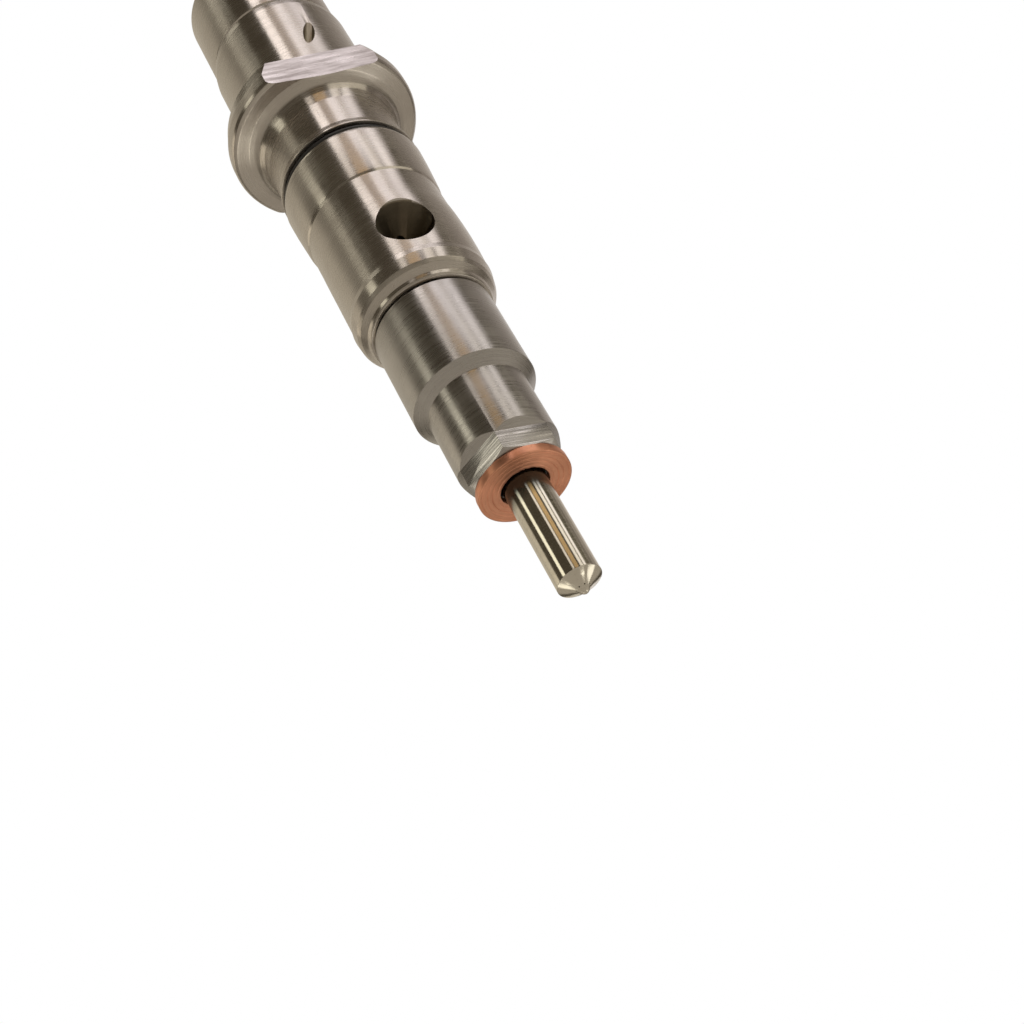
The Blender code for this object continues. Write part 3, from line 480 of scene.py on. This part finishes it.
BODY_STEEL = turned_metal("turned_steel", (0.55, 0.51, 0.465), (0.45, 0.41, 0.37), 0.25,
                          line_depth=0.0004, stain=0.6)
NUT_STEEL = turned_metal("brushed_nut_steel", (0.50, 0.475, 0.45), (0.36, 0.34, 0.32), 0.3,
                         line_mm=0.2, line_depth=0.0045, stain=0.45, scratch=0.6, rough_spread=0.16,
                         grain=0.7)
# The nozzle's colour darkens from z -4.4 mm to a full dark tone at -1.8 mm and above.
NOZZLE_STEEL = turned_metal("ground_nozzle_steel", (0.66, 0.62, 0.54), (0.56, 0.52, 0.44), 0.15,
                            line_mm=0.12, line_depth=0.0006, stain=0.5, rough_spread=0.08,
                            darkening_by_height=(-4.4, -1.8, (0.10, 0.115, 0.11)), grain=0.8)
COPPER = turned_metal("washer_copper", (0.90, 0.46, 0.295), (0.60, 0.25, 0.155), 0.42,
                      line_mm=0.22, line_depth=0.009, spin=160.0, stain=0.55, rough_spread=0.2)
FLAT_STEEL = brushed_flat_metal("milled_flat_steel", (0.58, 0.54, 0.53), (0.27, 0.24, 0.23), 0.3)
HEX_STEEL = brushed_flat_metal("milled_hex_steel", (0.64, 0.61, 0.60), (0.20, 0.19, 0.18), 0.24,
                               run=60.0, streaks=2600.0)
# Painted shade for the recesses: the turned steel made darker and browner.
BORE_SHADE_STEEL = turned_metal("bore_steel_painted_shade", (0.30, 0.26, 0.20), (0.20, 0.17, 0.13), 0.34,
                          line_depth=0.003, stain=0.7)
HARD_STEEL = turned_metal("hardened_steel", (0.58, 0.58, 0.57), (0.47, 0.47, 0.46), 0.2,
                          line_depth=0.001)
SPRING_STEEL = wire_metal("spring_steel", (0.34, 0.34, 0.35), (0.2, 0.2, 0.21), 0.32)
CORE_IRON = wire_metal("core_iron", (0.26, 0.25, 0.24), (0.15, 0.145, 0.14), 0.5)
COIL_COPPER = winding_metal("coil_copper", (0.66, 0.28, 0.13), (0.4, 0.15, 0.06))
SEAL_RUBBER = moulded("seal_rubber", (0.022, 0.022, 0.022), (0.012, 0.012, 0.012), 0.42)
BOBBIN_PLASTIC = moulded("bobbin_plastic", (0.58, 0.47, 0.3), (0.46, 0.37, 0.23), 0.48)
CAP_PLASTIC = moulded("cap_plastic", (0.04, 0.04, 0.042), (0.024, 0.024, 0.026), 0.42)
BRASS = turned_metal("terminal_brass", (0.78, 0.58, 0.30), (0.62, 0.43, 0.19), 0.27, line_depth=0.002)
ZINC = turned_metal("zinc_plated_steel", (0.68, 0.69, 0.69), (0.54, 0.55, 0.56), 0.3, line_depth=0.003)

SLOT_MATERIALS = {
    "turned_steel": BODY_STEEL,
    "brushed_nut_steel": NUT_STEEL,
    "ground_nozzle_steel": NOZZLE_STEEL,
    "washer_copper": COPPER,
    "hardened_steel": HARD_STEEL,
    "spring_steel": SPRING_STEEL,
    "seal_rubber": SEAL_RUBBER,
    "core_iron": CORE_IRON,
    "coil_copper": COIL_COPPER,
    "bobbin_plastic": BOBBIN_PLASTIC,
    "cap_plastic": CAP_PLASTIC,
    "terminal_brass": BRASS,
    "zinc_plated_steel": ZINC,
}

for row in frame["record"]["subparts"]:
    node = frame["nodes"][row["node"]]
    for slot in node.material_slots:
        slot.material = SLOT_MATERIALS[row["material_slot"]]


# ---------------------------------------------------------------- nozzle

def build_nozzle():
    """Ground shaft with a conical end, a sac nub with spray holes, and the guide bore inside."""
    rim = NOZZLE_LOW + 2.25
    bore = [
        (0.0, NOZZLE_LOW + 1.1),
        (0.4, NOZZLE_LOW + 1.3),
        (0.55, NOZZLE_LOW + 1.7),
        (0.55, NOZZLE_LOW + 2.72),
        (1.75, NOZZLE_LOW + 4.8),
        (1.75, 10.6),
        (3.1, 11.9),
        (3.1, 14.2),
        (2.05, 15.3),
        (2.05, NOZZLE_HIGH),
    ]
    outside = rounded(
        [
            (2.05, NOZZLE_HIGH),
            (NOZZLE_R, NOZZLE_HIGH, 0.2),
            (NOZZLE_R, 10.2, 0.3),
            (3.5, 8.0, 0.3),
            (3.5, rim, 0.1),
            (2.4, rim - 0.6, 1.6),
            (1.55, rim - 1.12, 1.2),
            (1.02, rim - 1.52, 0.8),
            (0.76, rim - 1.84, 0.3),
            (0.45, rim - 2.12, 0.2),
            (0.15, rim - 2.24, 0.1),
            (0.0, NOZZLE_LOW),
        ]
    )
    nozzle = lathe("nozzle", bore + outside[1:], SMALL_ROUND, closed=False)
    hole_count = 8
    for i in range(hole_count):
        angle = math.tau * i / hole_count
        outward = Vector((math.cos(angle), math.sin(angle), -0.42))
        start = Vector((0.0, 0.0, NOZZLE_LOW + 1.3)) + outward * 0.35
        cut(nozzle, rod("hole", start, start + outward * 1.6, 0.1, sides=12))
    return dress(nozzle, NOZZLE_STEEL, ["nozzle_body"])


def build_washer():
    """Soft copper washer with shallow turned grooves and a torn inner edge."""
    inner = 3.95
    low, high = WASHER_LOW, WASHER_HIGH
    face = [
        (WASHER_R, high, 0.18),
        (WASHER_R, low, 0.22),
        (7.05, low + 0.01),
        (6.98, low + 0.08),
        (6.9, low + 0.01),
        (6.2, low),
        (6.12, low + 0.07),
        (6.05, low),
        (5.42, low + 0.005),
        (5.34, low + 0.11),
        (5.24, low + 0.015),
        (4.6, low + 0.01),
        (4.5, low + 0.08),
        (4.4, low + 0.02),
        (inner, low + 0.05, 0.12),
        (inner, high, 0.12),
    ]

    def torn(angle, r, z):
        if r > 4.2:
            return r, z
        jag = noise.noise(Vector((math.cos(angle) * 9.0, math.sin(angle) * 9.0, z * 2.0)))
        fine = noise.noise(Vector((math.cos(angle) * 31.0, math.sin(angle) * 31.0, z * 3.0 + 7.0)))
        return r - 0.12 * max(jag, -0.3) - 0.07 * fine, z

    washer = lathe("washer", rounded(face, 0.03, closed=True), ROUND, shape=torn)
    return dress(washer, COPPER, ["sealing_washer"])


def build_nut():
    """Nozzle retaining nut: two turned diameters, a chamfer between them and a hexagon at the nose."""
    profile = [
        (8.8, NUT_HIGH),
        (NUT_R - 0.3, NUT_HIGH, 0.15),
        (NUT_R, NUT_HIGH - 0.3, 0.15),
        (NUT_R, 19.3, 0.1),
        (8.33, 17.77, 0.12),
        (8.33, 2.2, 0.08),
        (7.2, NUT_LOW, 0.12),
        (3.95, NUT_LOW, 0.1),
        (3.95, 7.6),
        (7.3, 9.8),
        (7.3, 27.7),
        (8.8, 27.7),
    ]
    nut = lathe("nozzle_nut", rounded(profile, closed=True), ROUND)
    apothem, depth, low, top = 7.2, 4.0, -1.0, 5.4
    first_flat_deg = -82.0
    for i in range(6):
        tool = box("hex_flat", (apothem, -7.0, low), (apothem + depth, 7.0, top))
        for vert in tool.data.vertices:
            if vert.co.x > (apothem + depth / 2) * MM and vert.co.z > 0.0:
                vert.co.z += depth * MM
        tool.data.transform(Matrix.Rotation(math.radians(first_flat_deg + 60.0 * i), 4, "Z"))
        cut(nut, tool)
    ease(nut, 0.06)
    dress(nut, NUT_STEEL, ["nozzle_retaining_nut"])
    nut.data.materials.append(HEX_STEEL)
    for face in nut.data.polygons:
        away = face.normal.dot(face.center) / MM
        if abs(face.normal.z) < 0.02 and abs(away - apothem) < 0.03 and face.center.z < top * MM:
            face.material_index = 1
    return nut


# ---------------------------------------------------------------- body

BODY_HIGH_R = 10.9
HEAD_TOP = TOP_NUT_LOW - 0.3
HEAD_R = 13.04
SEAT_Z = 94.2
COLLAR_R = 17.34
FOOT_Z = 88.0          # underside of the collar
FLAT_Y = 14.0
INLET_Z = 49.3
INLET_BORE_R = 4.75
VALVE_BORE_R = 8.6     # widest of the bores along the axis
LOWER_THREAD_R = 8.6   # the thread that the nozzle nut is screwed on
RETURN_Z = 102.4       # mouth of the return drilling
RETURN_CROSS_Z = 100.2
SWELL_LOW = 41.0       # the inlet zone bulges on one side between these heights
SWELL_HIGH = 57.5
SWELL_LEAST_R = 11.5   # only the outer side bulges
SWELL_SIDE_DEG = -22.0
SWELL_SIZE = 0.5


def body_profile():
    """Outer side from the upper thread down to the lower one, then up through the bore."""
    return [
        (BODY_HIGH_R - 0.4, BODY_HIGH),
        (BODY_HIGH_R, BODY_HIGH - 0.4),
        (BODY_HIGH_R, HEAD_TOP),
        (12.5, HEAD_TOP, 0.05),
        (12.85, HEAD_TOP - 0.5, 0.6),
        (HEAD_R, HEAD_TOP - 1.9, 1.4),
        (HEAD_R, SEAT_Z + 1.3, 0.4),
        (HEAD_R + 0.25, SEAT_Z + 0.35, 0.5),
        (HEAD_R + 1.1, SEAT_Z, 0.4),
        (16.5, SEAT_Z, 0.15),
        (16.68, SEAT_Z - 0.7, 0.3),
        (COLLAR_R, FOOT_Z + 3.2, 0.5),
        (COLLAR_R, FOOT_Z + 1.2, 0.9),
        (17.1, FOOT_Z + 0.55, 0.5),
        (16.6, FOOT_Z + 0.12, 0.6),
        (15.5, FOOT_Z, 0.8),
        (14.5, FOOT_Z - 0.15, 1.0),
        (13.6, FOOT_Z - 0.55, 1.4),
        (12.9, FOOT_Z - 1.25, 1.8),
        (12.4, FOOT_Z - 2.4, 2.2),
        (12.04, FOOT_Z - 4.2, 2.0),
        (12.0, 77.2, 1.0),
        (12.28, 76.2, 0.8),
        (12.74, 75.5, 0.25),
        (12.74, 75.2, 0.08),
        (11.0, 75.2, 0.1),
        (11.0, 73.6, 0.1),
        (12.3, 73.6, 0.1),
        (12.78, 73.3, 0.25),
        (12.88, 72.7, 0.5),
        (12.78, 69.5, 1.5),
        (12.42, 63.6, 0.6),
        (12.28, 62.75, 0.1),
        (12.1, 62.3, 0.25),
        (12.08, 57.4, 0.4),
        (12.1, 55.4, 0.4),
        (12.1, 42.4, 0.5),
        (12.27, 41.3, 0.15),
        (12.05, 39.28, 0.06),
        (11.66, 38.55, 0.5),
        (11.14, 37.95, 0.5),
        (10.84, 37.55, 0.18),
        (10.72, 37.0, 0.2),
        (10.5, NUT_HIGH + 0.3, 0.12),
        (LOWER_THREAD_R, NUT_HIGH + 0.3),
        (LOWER_THREAD_R, BODY_LOW + 0.5),
        (8.1, BODY_LOW),
        (3.6, BODY_LOW, 0.0),
        (3.6, 43.6, 0.0),
        (2.3, 43.6, 0.0),
        (2.3, 83.0, 0.0),
        (5.2, 83.0, 0.0),
        (5.2, 98.6, 0.0),
        (VALVE_BORE_R, 98.6, 0.0),
        (VALVE_BORE_R, BODY_HIGH, 0.0),
    ]


def body_shape(angle, r, z):
    """Swells the inlet zone on one side."""
    foot, length = 40.0, 18.0
    if SWELL_LOW < z < SWELL_HIGH and r > SWELL_LEAST_R:
        swell = math.sin(math.pi * min(max((z - foot) / length, 0.0), 1.0)) ** 0.6
        side = max(math.cos(angle - math.radians(SWELL_SIDE_DEG)), 0.0) ** 1.5
        return r + SWELL_SIZE * swell * side, z
    return r, z


def add_levels(profile, low, high, step, least_r):
    """Extra points on the outer side, so that a changed shape bends smoothly."""
    result = [profile[0]]
    for before, after in zip(profile, profile[1:]):
        if before[0] > least_r and after[0] > least_r and low < after[1] and before[1] < high:
            count = int((before[1] - after[1]) / step)
            for k in range(1, count):
                t = k / count
                r = before[0] + (after[0] - before[0]) * t
                z = before[1] + (after[1] - before[1]) * t
                result.append((r, z))
        result.append(after)
    return result


def build_body():
    profile = rounded(body_profile(), 0.08, steps=4, closed=True)
    profile = add_levels(profile, SWELL_LOW, SWELL_HIGH + 0.5, 0.8, SWELL_LEAST_R)
    body = lathe("body", profile, ROUND, shape=body_shape)
    for side in (-1, 1):
        low_y, high_y = sorted((side * FLAT_Y, side * CUT_REACH))
        cut(body, box("collar_flat", (-CUT_REACH, low_y, FOOT_Z - 1.0), (CUT_REACH, high_y, SEAT_Z + 0.3)))
    socket = lathe(
        "socket",
        [
            (0.0, 16.0),
            (5.4, 16.0),
            (5.4, 12.7),
            (5.2, 12.25),
            (4.92, 11.95),
            (INLET_BORE_R, 11.6),
            (INLET_BORE_R, 10.4),
            (1.5, 4.3),
            (1.5, 3.7),
            (0.0, 3.7),
        ],
        SMALL_ROUND,
        closed=False,
    )
    turn = Matrix.Rotation(math.pi / 2, 4, "X")
    socket.data.transform(Matrix.Translation((0.0, 0.0, INLET_Z * MM)) @ turn)
    cut(body, socket)
    cut(body, rod("feed", (0.0, -5.6, BODY_LOW - 1.0), (0.0, -5.6, 87.0), 0.9, 24))
    cut_return(body)
    ease(body, 0.09)
    dress(body, BODY_STEEL, ["injector_body"])
    mark_flats(body, FLAT_Y, FOOT_Z - 1.5)
    paint_shade_in_bores(body)
    return body


def paint_shade_in_bores(body):
    """Painted shade: a darker, browner copy of the turned steel, also duller, in the socket, the drilling
    and the inner bores, and on the lower thread.
    """
    body.data.materials.append(BORE_SHADE_STEEL)
    for face in body.data.polygons:
        x, y, z = face.center / MM
        from_axis = math.hypot(x, y)
        inlet_side = y < 0.0
        in_socket = math.hypot(x, z - INLET_Z) < INLET_BORE_R + 0.1 and from_axis < 12.05
        below_wall = from_axis < HEAD_R - 0.04
        looks_up = face.normal.dot(face.center.normalized()) >= 0.9
        in_drilling = 96.0 < z < 108.0 and abs(x) < 6.0 and below_wall and not looks_up
        inside = from_axis < VALVE_BORE_R + 0.1 and BODY_LOW + 1.0 < z
        if inside or (inlet_side and (in_socket or in_drilling)):
            face.material_index = 2


def mark_flats(obj, flat_y, low_z):
    """Gives a part's milled flats their own metal and crisp edges."""
    mesh = obj.data
    mesh.materials.append(FLAT_STEEL)
    sides = {}
    for face in mesh.polygons:
        level = abs(abs(face.center.y) - flat_y * MM) < 0.02 * MM
        if abs(face.normal.y) > 0.999 and level and face.center.z > low_z * MM:
            face.material_index = 1
        for key in face.edge_keys:
            sides.setdefault(key, set()).add(face.material_index)
    for edge in mesh.edges:
        if len(sides.get(edge.key, ())) == 2:
            edge.use_edge_sharp = True


def cut_return(body):
    """Return drilling at a small angle to the head's wall, and its cross hole into the valve bore."""
    azimuth, slope, slant = (math.radians(a) for a in (-81.0, 18.0, 19.0))
    outward = Vector((math.cos(azimuth), math.sin(azimuth), 0.0))
    across = Vector((-math.sin(azimuth), math.cos(azimuth), 0.0))
    upright = Vector((0.0, 0.0, 1.0))
    mouth = outward * HEAD_R + upright * RETURN_Z
    climb = upright * math.cos(slant) + across * math.sin(slant)
    along = outward * math.sin(slope) + climb * math.cos(slope)
    cut(body, rod("return_drilling", mouth + along * 15.0, mouth - along * 5.0, 1.05, 40))
    meet = mouth + along * ((RETURN_CROSS_Z - RETURN_Z) / along.z)
    cut(body, rod("return_cross", outward * 7.6 + upright * RETURN_CROSS_Z, meet, 0.6, 24))


def build_seal():
    """Round rubber ring in the body's groove."""
    middle = (SEAL_LOW + SEAL_HIGH) / 2
    minor = (SEAL_HIGH - SEAL_LOW) / 2
    seal = lathe("body_seal", arc(SEAL_R - minor, middle, minor, 0.0, 348.0, 28), ROUND)
    return dress(seal, SEAL_RUBBER, ["body_seal_ring"])


# ---------------------------------------------------------------- top end

def build_top_nut():
    """Solenoid retaining nut with two spanner flats."""
    flat_y, flat_low, flat_high = 11.3, 123.0, 129.5
    profile = [
        (CAP_R + 0.2, TOP_NUT_HIGH, 0.15),
        (TOP_NUT_R - 0.5, TOP_NUT_HIGH, 0.12),
        (TOP_NUT_R, TOP_NUT_HIGH - 0.5, 0.12),
        (TOP_NUT_R, TOP_NUT_LOW + 0.25, 0.1),
        (TOP_NUT_R - 0.25, TOP_NUT_LOW, 0.1),
        (11.05, TOP_NUT_LOW),
        (11.05, 121.8),
        (10.6, 122.1),
        (10.6, 130.4),
        (CAP_R + 0.2, 130.4),
    ]
    nut = lathe("solenoid_nut", rounded(profile, closed=True), ROUND)
    for side in (-1, 1):
        low_y, high_y = sorted((side * flat_y, side * CUT_REACH))
        cut(nut, box("spanner_flat", (-CUT_REACH, low_y, flat_low), (CUT_REACH, high_y, flat_high)))
    ease(nut, 0.12)
    dress(nut, BODY_STEEL, ["solenoid_retaining_nut"])
    mark_flats(nut, flat_y, flat_low - 1.0)
    return nut


def build_cap():
    """Black moulded cap: a groove round it, a wall between the studs, and two stud bores with pin holes."""
    top = 141.0
    profile = [
        (0.0, top),
        (CAP_R - 0.6, top, 0.2),
        (CAP_R, top - 0.6, 0.3),
        (CAP_R, 138.6, 0.2),
        (CAP_R - 0.7, 138.2, 0.2),
        (CAP_R - 0.7, 136.4, 0.2),
        (CAP_R, 136.0, 0.2),
        (CAP_R, 130.15, 0.1),
        (CAP_FLANGE_R, 130.15, 0.1),
        (CAP_FLANGE_R, CAP_LOW),
        (0.0, CAP_LOW),
    ]
    cap = lathe("cap", rounded(profile), ROUND, closed=False)
    cut(cap, box("cap_wall", (-0.45, -7.2, top - 1.0), (0.45, 7.2, CAP_HIGH)), "UNION")
    for side in (-1, 1):
        x = side * STUD_X
        cut(cap, rod("stud_bore", (x, 0.0, 131.0), (x, 0.0, top + 1.0), 2.12, 48))
        cut(cap, rod("pin_hole", (x, 0.0, 128.5), (x, 0.0, 131.5), 0.75, 24))
    ease(cap, 0.15)
    return dress(cap, CAP_PLASTIC, ["terminal_cap"])


STUD_X = centre_of("terminal_stud_2").x / MM


def thread_radius(angle, z, major, pitch, depth):
    """Radius of a right-hand thread with flat crests and roots."""
    turn = (z / pitch - angle / math.tau) % 1.0
    ramp = abs(turn * 2.0 - 1.0)
    return major - depth * min(max((ramp - 0.12) / 0.72, 0.0), 1.0)


def build_stud(number):
    """Threaded terminal stud on a plain shank and a thin pin."""
    node = f"terminal_stud_{number}"
    low, high, radius = station(node)
    pitch, depth, plain = 0.7, 0.38, CAP_HIGH - 2.6
    steps = 9
    rows = [(0.0, high), (radius - 0.62, high), (radius - 0.35, high - 0.25)]
    z = high - 0.35
    while z > plain:
        rows.append((radius, z))
        z -= pitch / steps
    shank_low, pin_r = 131.2, 0.6
    rows += [
        (radius - 0.3, plain - 0.1),
        (radius, plain - 0.4),
        (radius, shank_low),
        (pin_r, shank_low),
        (pin_r, low),
        (0.0, low),
    ]

    def threaded(angle, r, z):
        if z > plain and r > radius - 0.01:
            run_out = min((high - z) / 0.7, 1.0)
            return thread_radius(angle, z, radius - 0.3 * (1.0 - run_out), pitch, depth * run_out), z
        return r, z

    stud = lathe(f"stud_{number}", rows, 48, closed=False, shape=threaded)
    stud.data.transform(Matrix.Translation(centre_of(node)))
    return dress(stud, BRASS, [node])


def build_terminal_washer(number):
    """Flat washer under a terminal nut."""
    node = f"terminal_washer_{number}"
    low, high, radius = station(node)
    profile = [(2.15, high, 0.08), (radius, high, 0.25), (radius, low, 0.1), (2.15, low, 0.08)]
    washer = lathe(f"stud_washer_{number}", rounded(profile, closed=True), SMALL_ROUND)
    washer.data.transform(Matrix.Translation(centre_of(node)))
    return dress(washer, ZINC, [node])


def build_terminal_nut(number):
    """Hexagon nut with turned chamfers on both faces and a countersunk bore."""
    node = f"terminal_nut_{number}"
    low, high, _ = station(node)
    apothem = 3.5
    corner = apothem / math.cos(math.radians(30.0))
    profile = [
        (2.35, high),
        (apothem - 0.15, high, 0.05),
        (corner + 0.05, high - 0.42),
        (corner + 0.05, low + 0.42),
        (apothem - 0.15, low, 0.05),
        (2.35, low),
        (2.1, low + 0.25),
        (2.1, high - 0.25),
    ]
    nut = lathe(f"stud_nut_{number}", rounded(profile, 0.04, closed=True), SMALL_ROUND)
    outline = []
    for i in range(6):
        angle = math.radians(30.0 + 60.0 * i)
        outline.append((corner * math.sin(angle), corner * math.cos(angle)))
    cut(nut, prism("hexagon", outline, low - 1.0, high + 1.0), "INTERSECT")
    ease(nut, 0.05)
    nut.data.transform(Matrix.Translation(centre_of(node)))
    return dress(nut, ZINC, [node])


def build_spring(node):
    """Coil spring: a copy of the CAD node's mesh."""
    spring = add_object(f"{node}_coil", frame["nodes"][node].data.copy())
    dress(spring, SPRING_STEEL, [node])
    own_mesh(spring)


build_spring("nozzle_spring")
build_spring("valve_spring")
build_nozzle()
build_washer()
build_nut()
build_body()
build_seal()
build_top_nut()
build_cap()
for stud_number in (1, 2):
    build_stud(stud_number)
    build_terminal_washer(stud_number)
    build_terminal_nut(stud_number)


# ---------------------------------------------------------------- stage, light and camera

VIEW_AZIMUTH = -112.0          # the camera stands on this side of the injector, in degrees
CAMERA_DISTANCE = 0.19018      # from the axis; this and the rest are in metres
CAMERA_Z = -0.13773
PANEL_DISTANCE = 2.0
PANEL_BASE = 0.05              # the panels' heights are angles seen from this z
FLOOR_Z = cad_low[2] - 0.28
GLOW_Z = cad_low[2] - 0.02
PATCH_Z = cad_low[2] - 0.2


def soft_floor():
    """Pale matt ground well below the tip."""
    t = Tree("pale_floor")
    tone = t.noise(t.coords, 3.0, 2.0)
    t.link(t.mix(tone, rgba((0.78, 0.77, 0.75)), rgba((0.82, 0.81, 0.79))), t.shader.inputs["Base Color"])
    t.shader.inputs["Roughness"].default_value = 0.9
    mesh = bpy.data.meshes.new("floor")
    reach = 6.0
    corners = [(-reach, -reach), (reach, -reach), (reach, reach), (-reach, reach)]
    mesh.from_pydata([(x, y, FLOOR_Z) for x, y in corners], [], [(0, 1, 2, 3)])
    floor = add_object("floor", mesh)
    mesh.materials.append(t.material)


def area_light(name, width, height, strength, color):
    """Rectangular light of a given brightness, unseen by the camera."""
    data = bpy.data.lights.new(name, "AREA")
    data.shape = "RECTANGLE"
    data.size = width
    data.size_y = height
    data.energy = strength * data.size * data.size_y * math.pi
    data.color = color
    light = bpy.data.objects.new(name, data)
    bpy.context.scene.collection.objects.link(light)
    light.visible_camera = False
    return light


def panel(name, from_deg, to_deg, low_deg, high_deg, strength, color):
    """Upright light panel. Angles are turns from the camera's side and heights above the horizon."""
    turn = math.radians(VIEW_AZIMUTH + (from_deg + to_deg) / 2)
    low_z = PANEL_BASE + PANEL_DISTANCE * math.tan(math.radians(low_deg))
    high_z = PANEL_BASE + PANEL_DISTANCE * math.tan(math.radians(high_deg))
    toward = Vector((math.cos(turn), math.sin(turn), 0.0))
    width = 2 * PANEL_DISTANCE * math.tan(math.radians(to_deg - from_deg) / 2)
    light = area_light(name, width, high_z - low_z, strength, color)
    light.location = toward * PANEL_DISTANCE + Vector((0.0, 0.0, (low_z + high_z) / 2))
    light.rotation_mode = "QUATERNION"
    light.rotation_quaternion = (-toward).to_track_quat("-Z", "Y")


def floor_glow(strength, color):
    """Light sheet under the injector that faces down, so only the floor receives it."""
    width = 4.0
    light = area_light("floor_glow", width, width, strength, color)
    light.location = (0.0, 0.0, GLOW_Z)


def ground_patch(name, turn_deg, near, far, width, strength, color):
    """Small upward light below the tip, which the cone reflects. near and far are metres from the axis."""
    turn = math.radians(VIEW_AZIMUTH + turn_deg)
    middle = (near + far) / 2
    light = area_light(name, far - near, width, strength, color)
    light.location = (math.cos(turn) * middle, math.sin(turn) * middle, PATCH_Z)
    light.rotation_euler = (math.pi, 0.0, turn)


def studio():
    """White backdrop for the camera, dim brown light for the metal, and the panels round it."""
    world = bpy.data.worlds.new("studio")
    bpy.context.scene.world = world
    world.use_nodes = True
    tree = world.node_tree
    tree.nodes.clear()
    output = tree.nodes.new("ShaderNodeOutputWorld")
    seen = tree.nodes.new("ShaderNodeBackground")
    seen.inputs["Color"].default_value = (1.0, 1.0, 1.0, 1.0)
    dim = tree.nodes.new("ShaderNodeBackground")
    dim.inputs["Color"].default_value = (0.085, 0.071, 0.050, 1.0)
    path = tree.nodes.new("ShaderNodeLightPath")
    mix = tree.nodes.new("ShaderNodeMixShader")
    tree.links.new(path.outputs["Is Camera Ray"], mix.inputs[0])
    tree.links.new(dim.outputs[0], mix.inputs[1])
    tree.links.new(seen.outputs[0], mix.inputs[2])
    tree.links.new(mix.outputs[0], output.inputs["Surface"])
    # key strips over the camera, with a brown gap between the first two
    panel("key_back", 17, 76, 38, 66, 0.68, (1.0, 0.89, 0.85))
    panel("key_first", 1, 17, 46, 66, 3.0, (1.0, 0.94, 0.93))
    panel("key_second", 31, 47, 38, 66, 1.35, (1.0, 0.99, 1.06))
    panel("key_third", 55, 74, 38, 66, 0.85, (0.97, 0.97, 1.08))
    # lower strips, seen by the nozzle
    panel("low_gold", 13, 30, 21, 37, 0.85, (1.0, 0.66, 0.30))
    panel("low_first", 1, 10, 21, 38, 1.5, (1.0, 0.93, 0.85))
    panel("low_second", 38, 50, 21, 38, 1.5, (1.0, 0.95, 0.9))
    panel("low_third", 55, 66, 21, 41, 1.5, (1.0, 0.96, 0.95))
    # cream windows: three on the left and a low one on the right
    panel("cream_low", -56, -42, 12, 33.5, 1.6, (1.0, 0.97, 0.80))
    panel("cream_high", -76, -40, 61, 70, 1.3, (1.0, 0.97, 0.82))
    panel("cream_rear", -114, -86, 4, 24, 0.7, (1.0, 0.9, 0.72))
    panel("cream_right", 36, 88, 1, 20, 1.1, (1.0, 0.94, 0.78))
    floor_glow(0.06, (1.0, 0.95, 0.70))
    ground_patch("tip_right", 110, 0.05, 0.085, 0.022, 5.0, (1.0, 0.98, 0.88))
    ground_patch("tip_left", -121, 0.115, 0.155, 0.014, 4.5, (1.0, 0.97, 0.84))
    ground_patch("tip_side_right", 126, 0.13, 0.27, 0.09, 1.3, (1.0, 0.98, 0.9))
    ground_patch("tip_side_left", -130, 0.17, 0.30, 0.09, 1.3, (1.0, 0.97, 0.84))
    # wide dull walls
    panel("left_inner", -83, -46, 37, 66, 0.26, (1.0, 0.93, 0.78))
    panel("left_wall", -128, -83, 6, 66, 0.50, (1.0, 0.92, 0.76))
    panel("left_rear", -178, -128, 6, 66, 0.58, (1.0, 0.92, 0.77))
    panel("right_inner", 84, 104, 6, 66, 0.16, (1.0, 0.90, 0.84))
    panel("right_wall", 104, 126, 6, 66, 0.32, (1.0, 0.90, 0.84))
    panel("right_outer", 126, 146, 6, 66, 0.52, (1.0, 0.92, 0.85))
    panel("right_rear", 146, 180, 6, 66, 0.80, (1.0, 0.95, 0.92))


def camera():
    """Low camera that looks up at the injector from the inlet side."""
    data = bpy.data.cameras.new("camera")
    data.lens = 56.25
    data.sensor_width = 36.0
    data.clip_start = 0.01
    data.clip_end = 50.0
    obj = bpy.data.objects.new("camera", data)
    bpy.context.scene.collection.objects.link(obj)
    azimuth = math.radians(VIEW_AZIMUTH)
    outward = Vector((math.cos(azimuth), math.sin(azimuth), 0.0))
    across = Vector((-math.sin(azimuth), math.cos(azimuth), 0.0))
    up = Vector((0.0, 0.0, 1.0))
    place = outward * CAMERA_DISTANCE + up * CAMERA_Z
    forward = outward * -0.81523 + across * -0.01528 + up * 0.57893
    right = outward * -0.29831 + across * 0.86792 + up * -0.39715
    forward.normalize()
    right = (right - forward * right.dot(forward)).normalized()
    above = right.cross(forward)
    turn = Matrix((right, above, -forward)).transposed()
    obj.matrix_world = Matrix.Translation(place) @ turn.to_4x4()
    bpy.context.scene.camera = obj


soft_floor()
studio()
camera()
bpy.context.scene.view_settings.view_transform = "Standard"
bpy.context.scene.view_settings.look = "None"

bpy.context.view_layer.update()
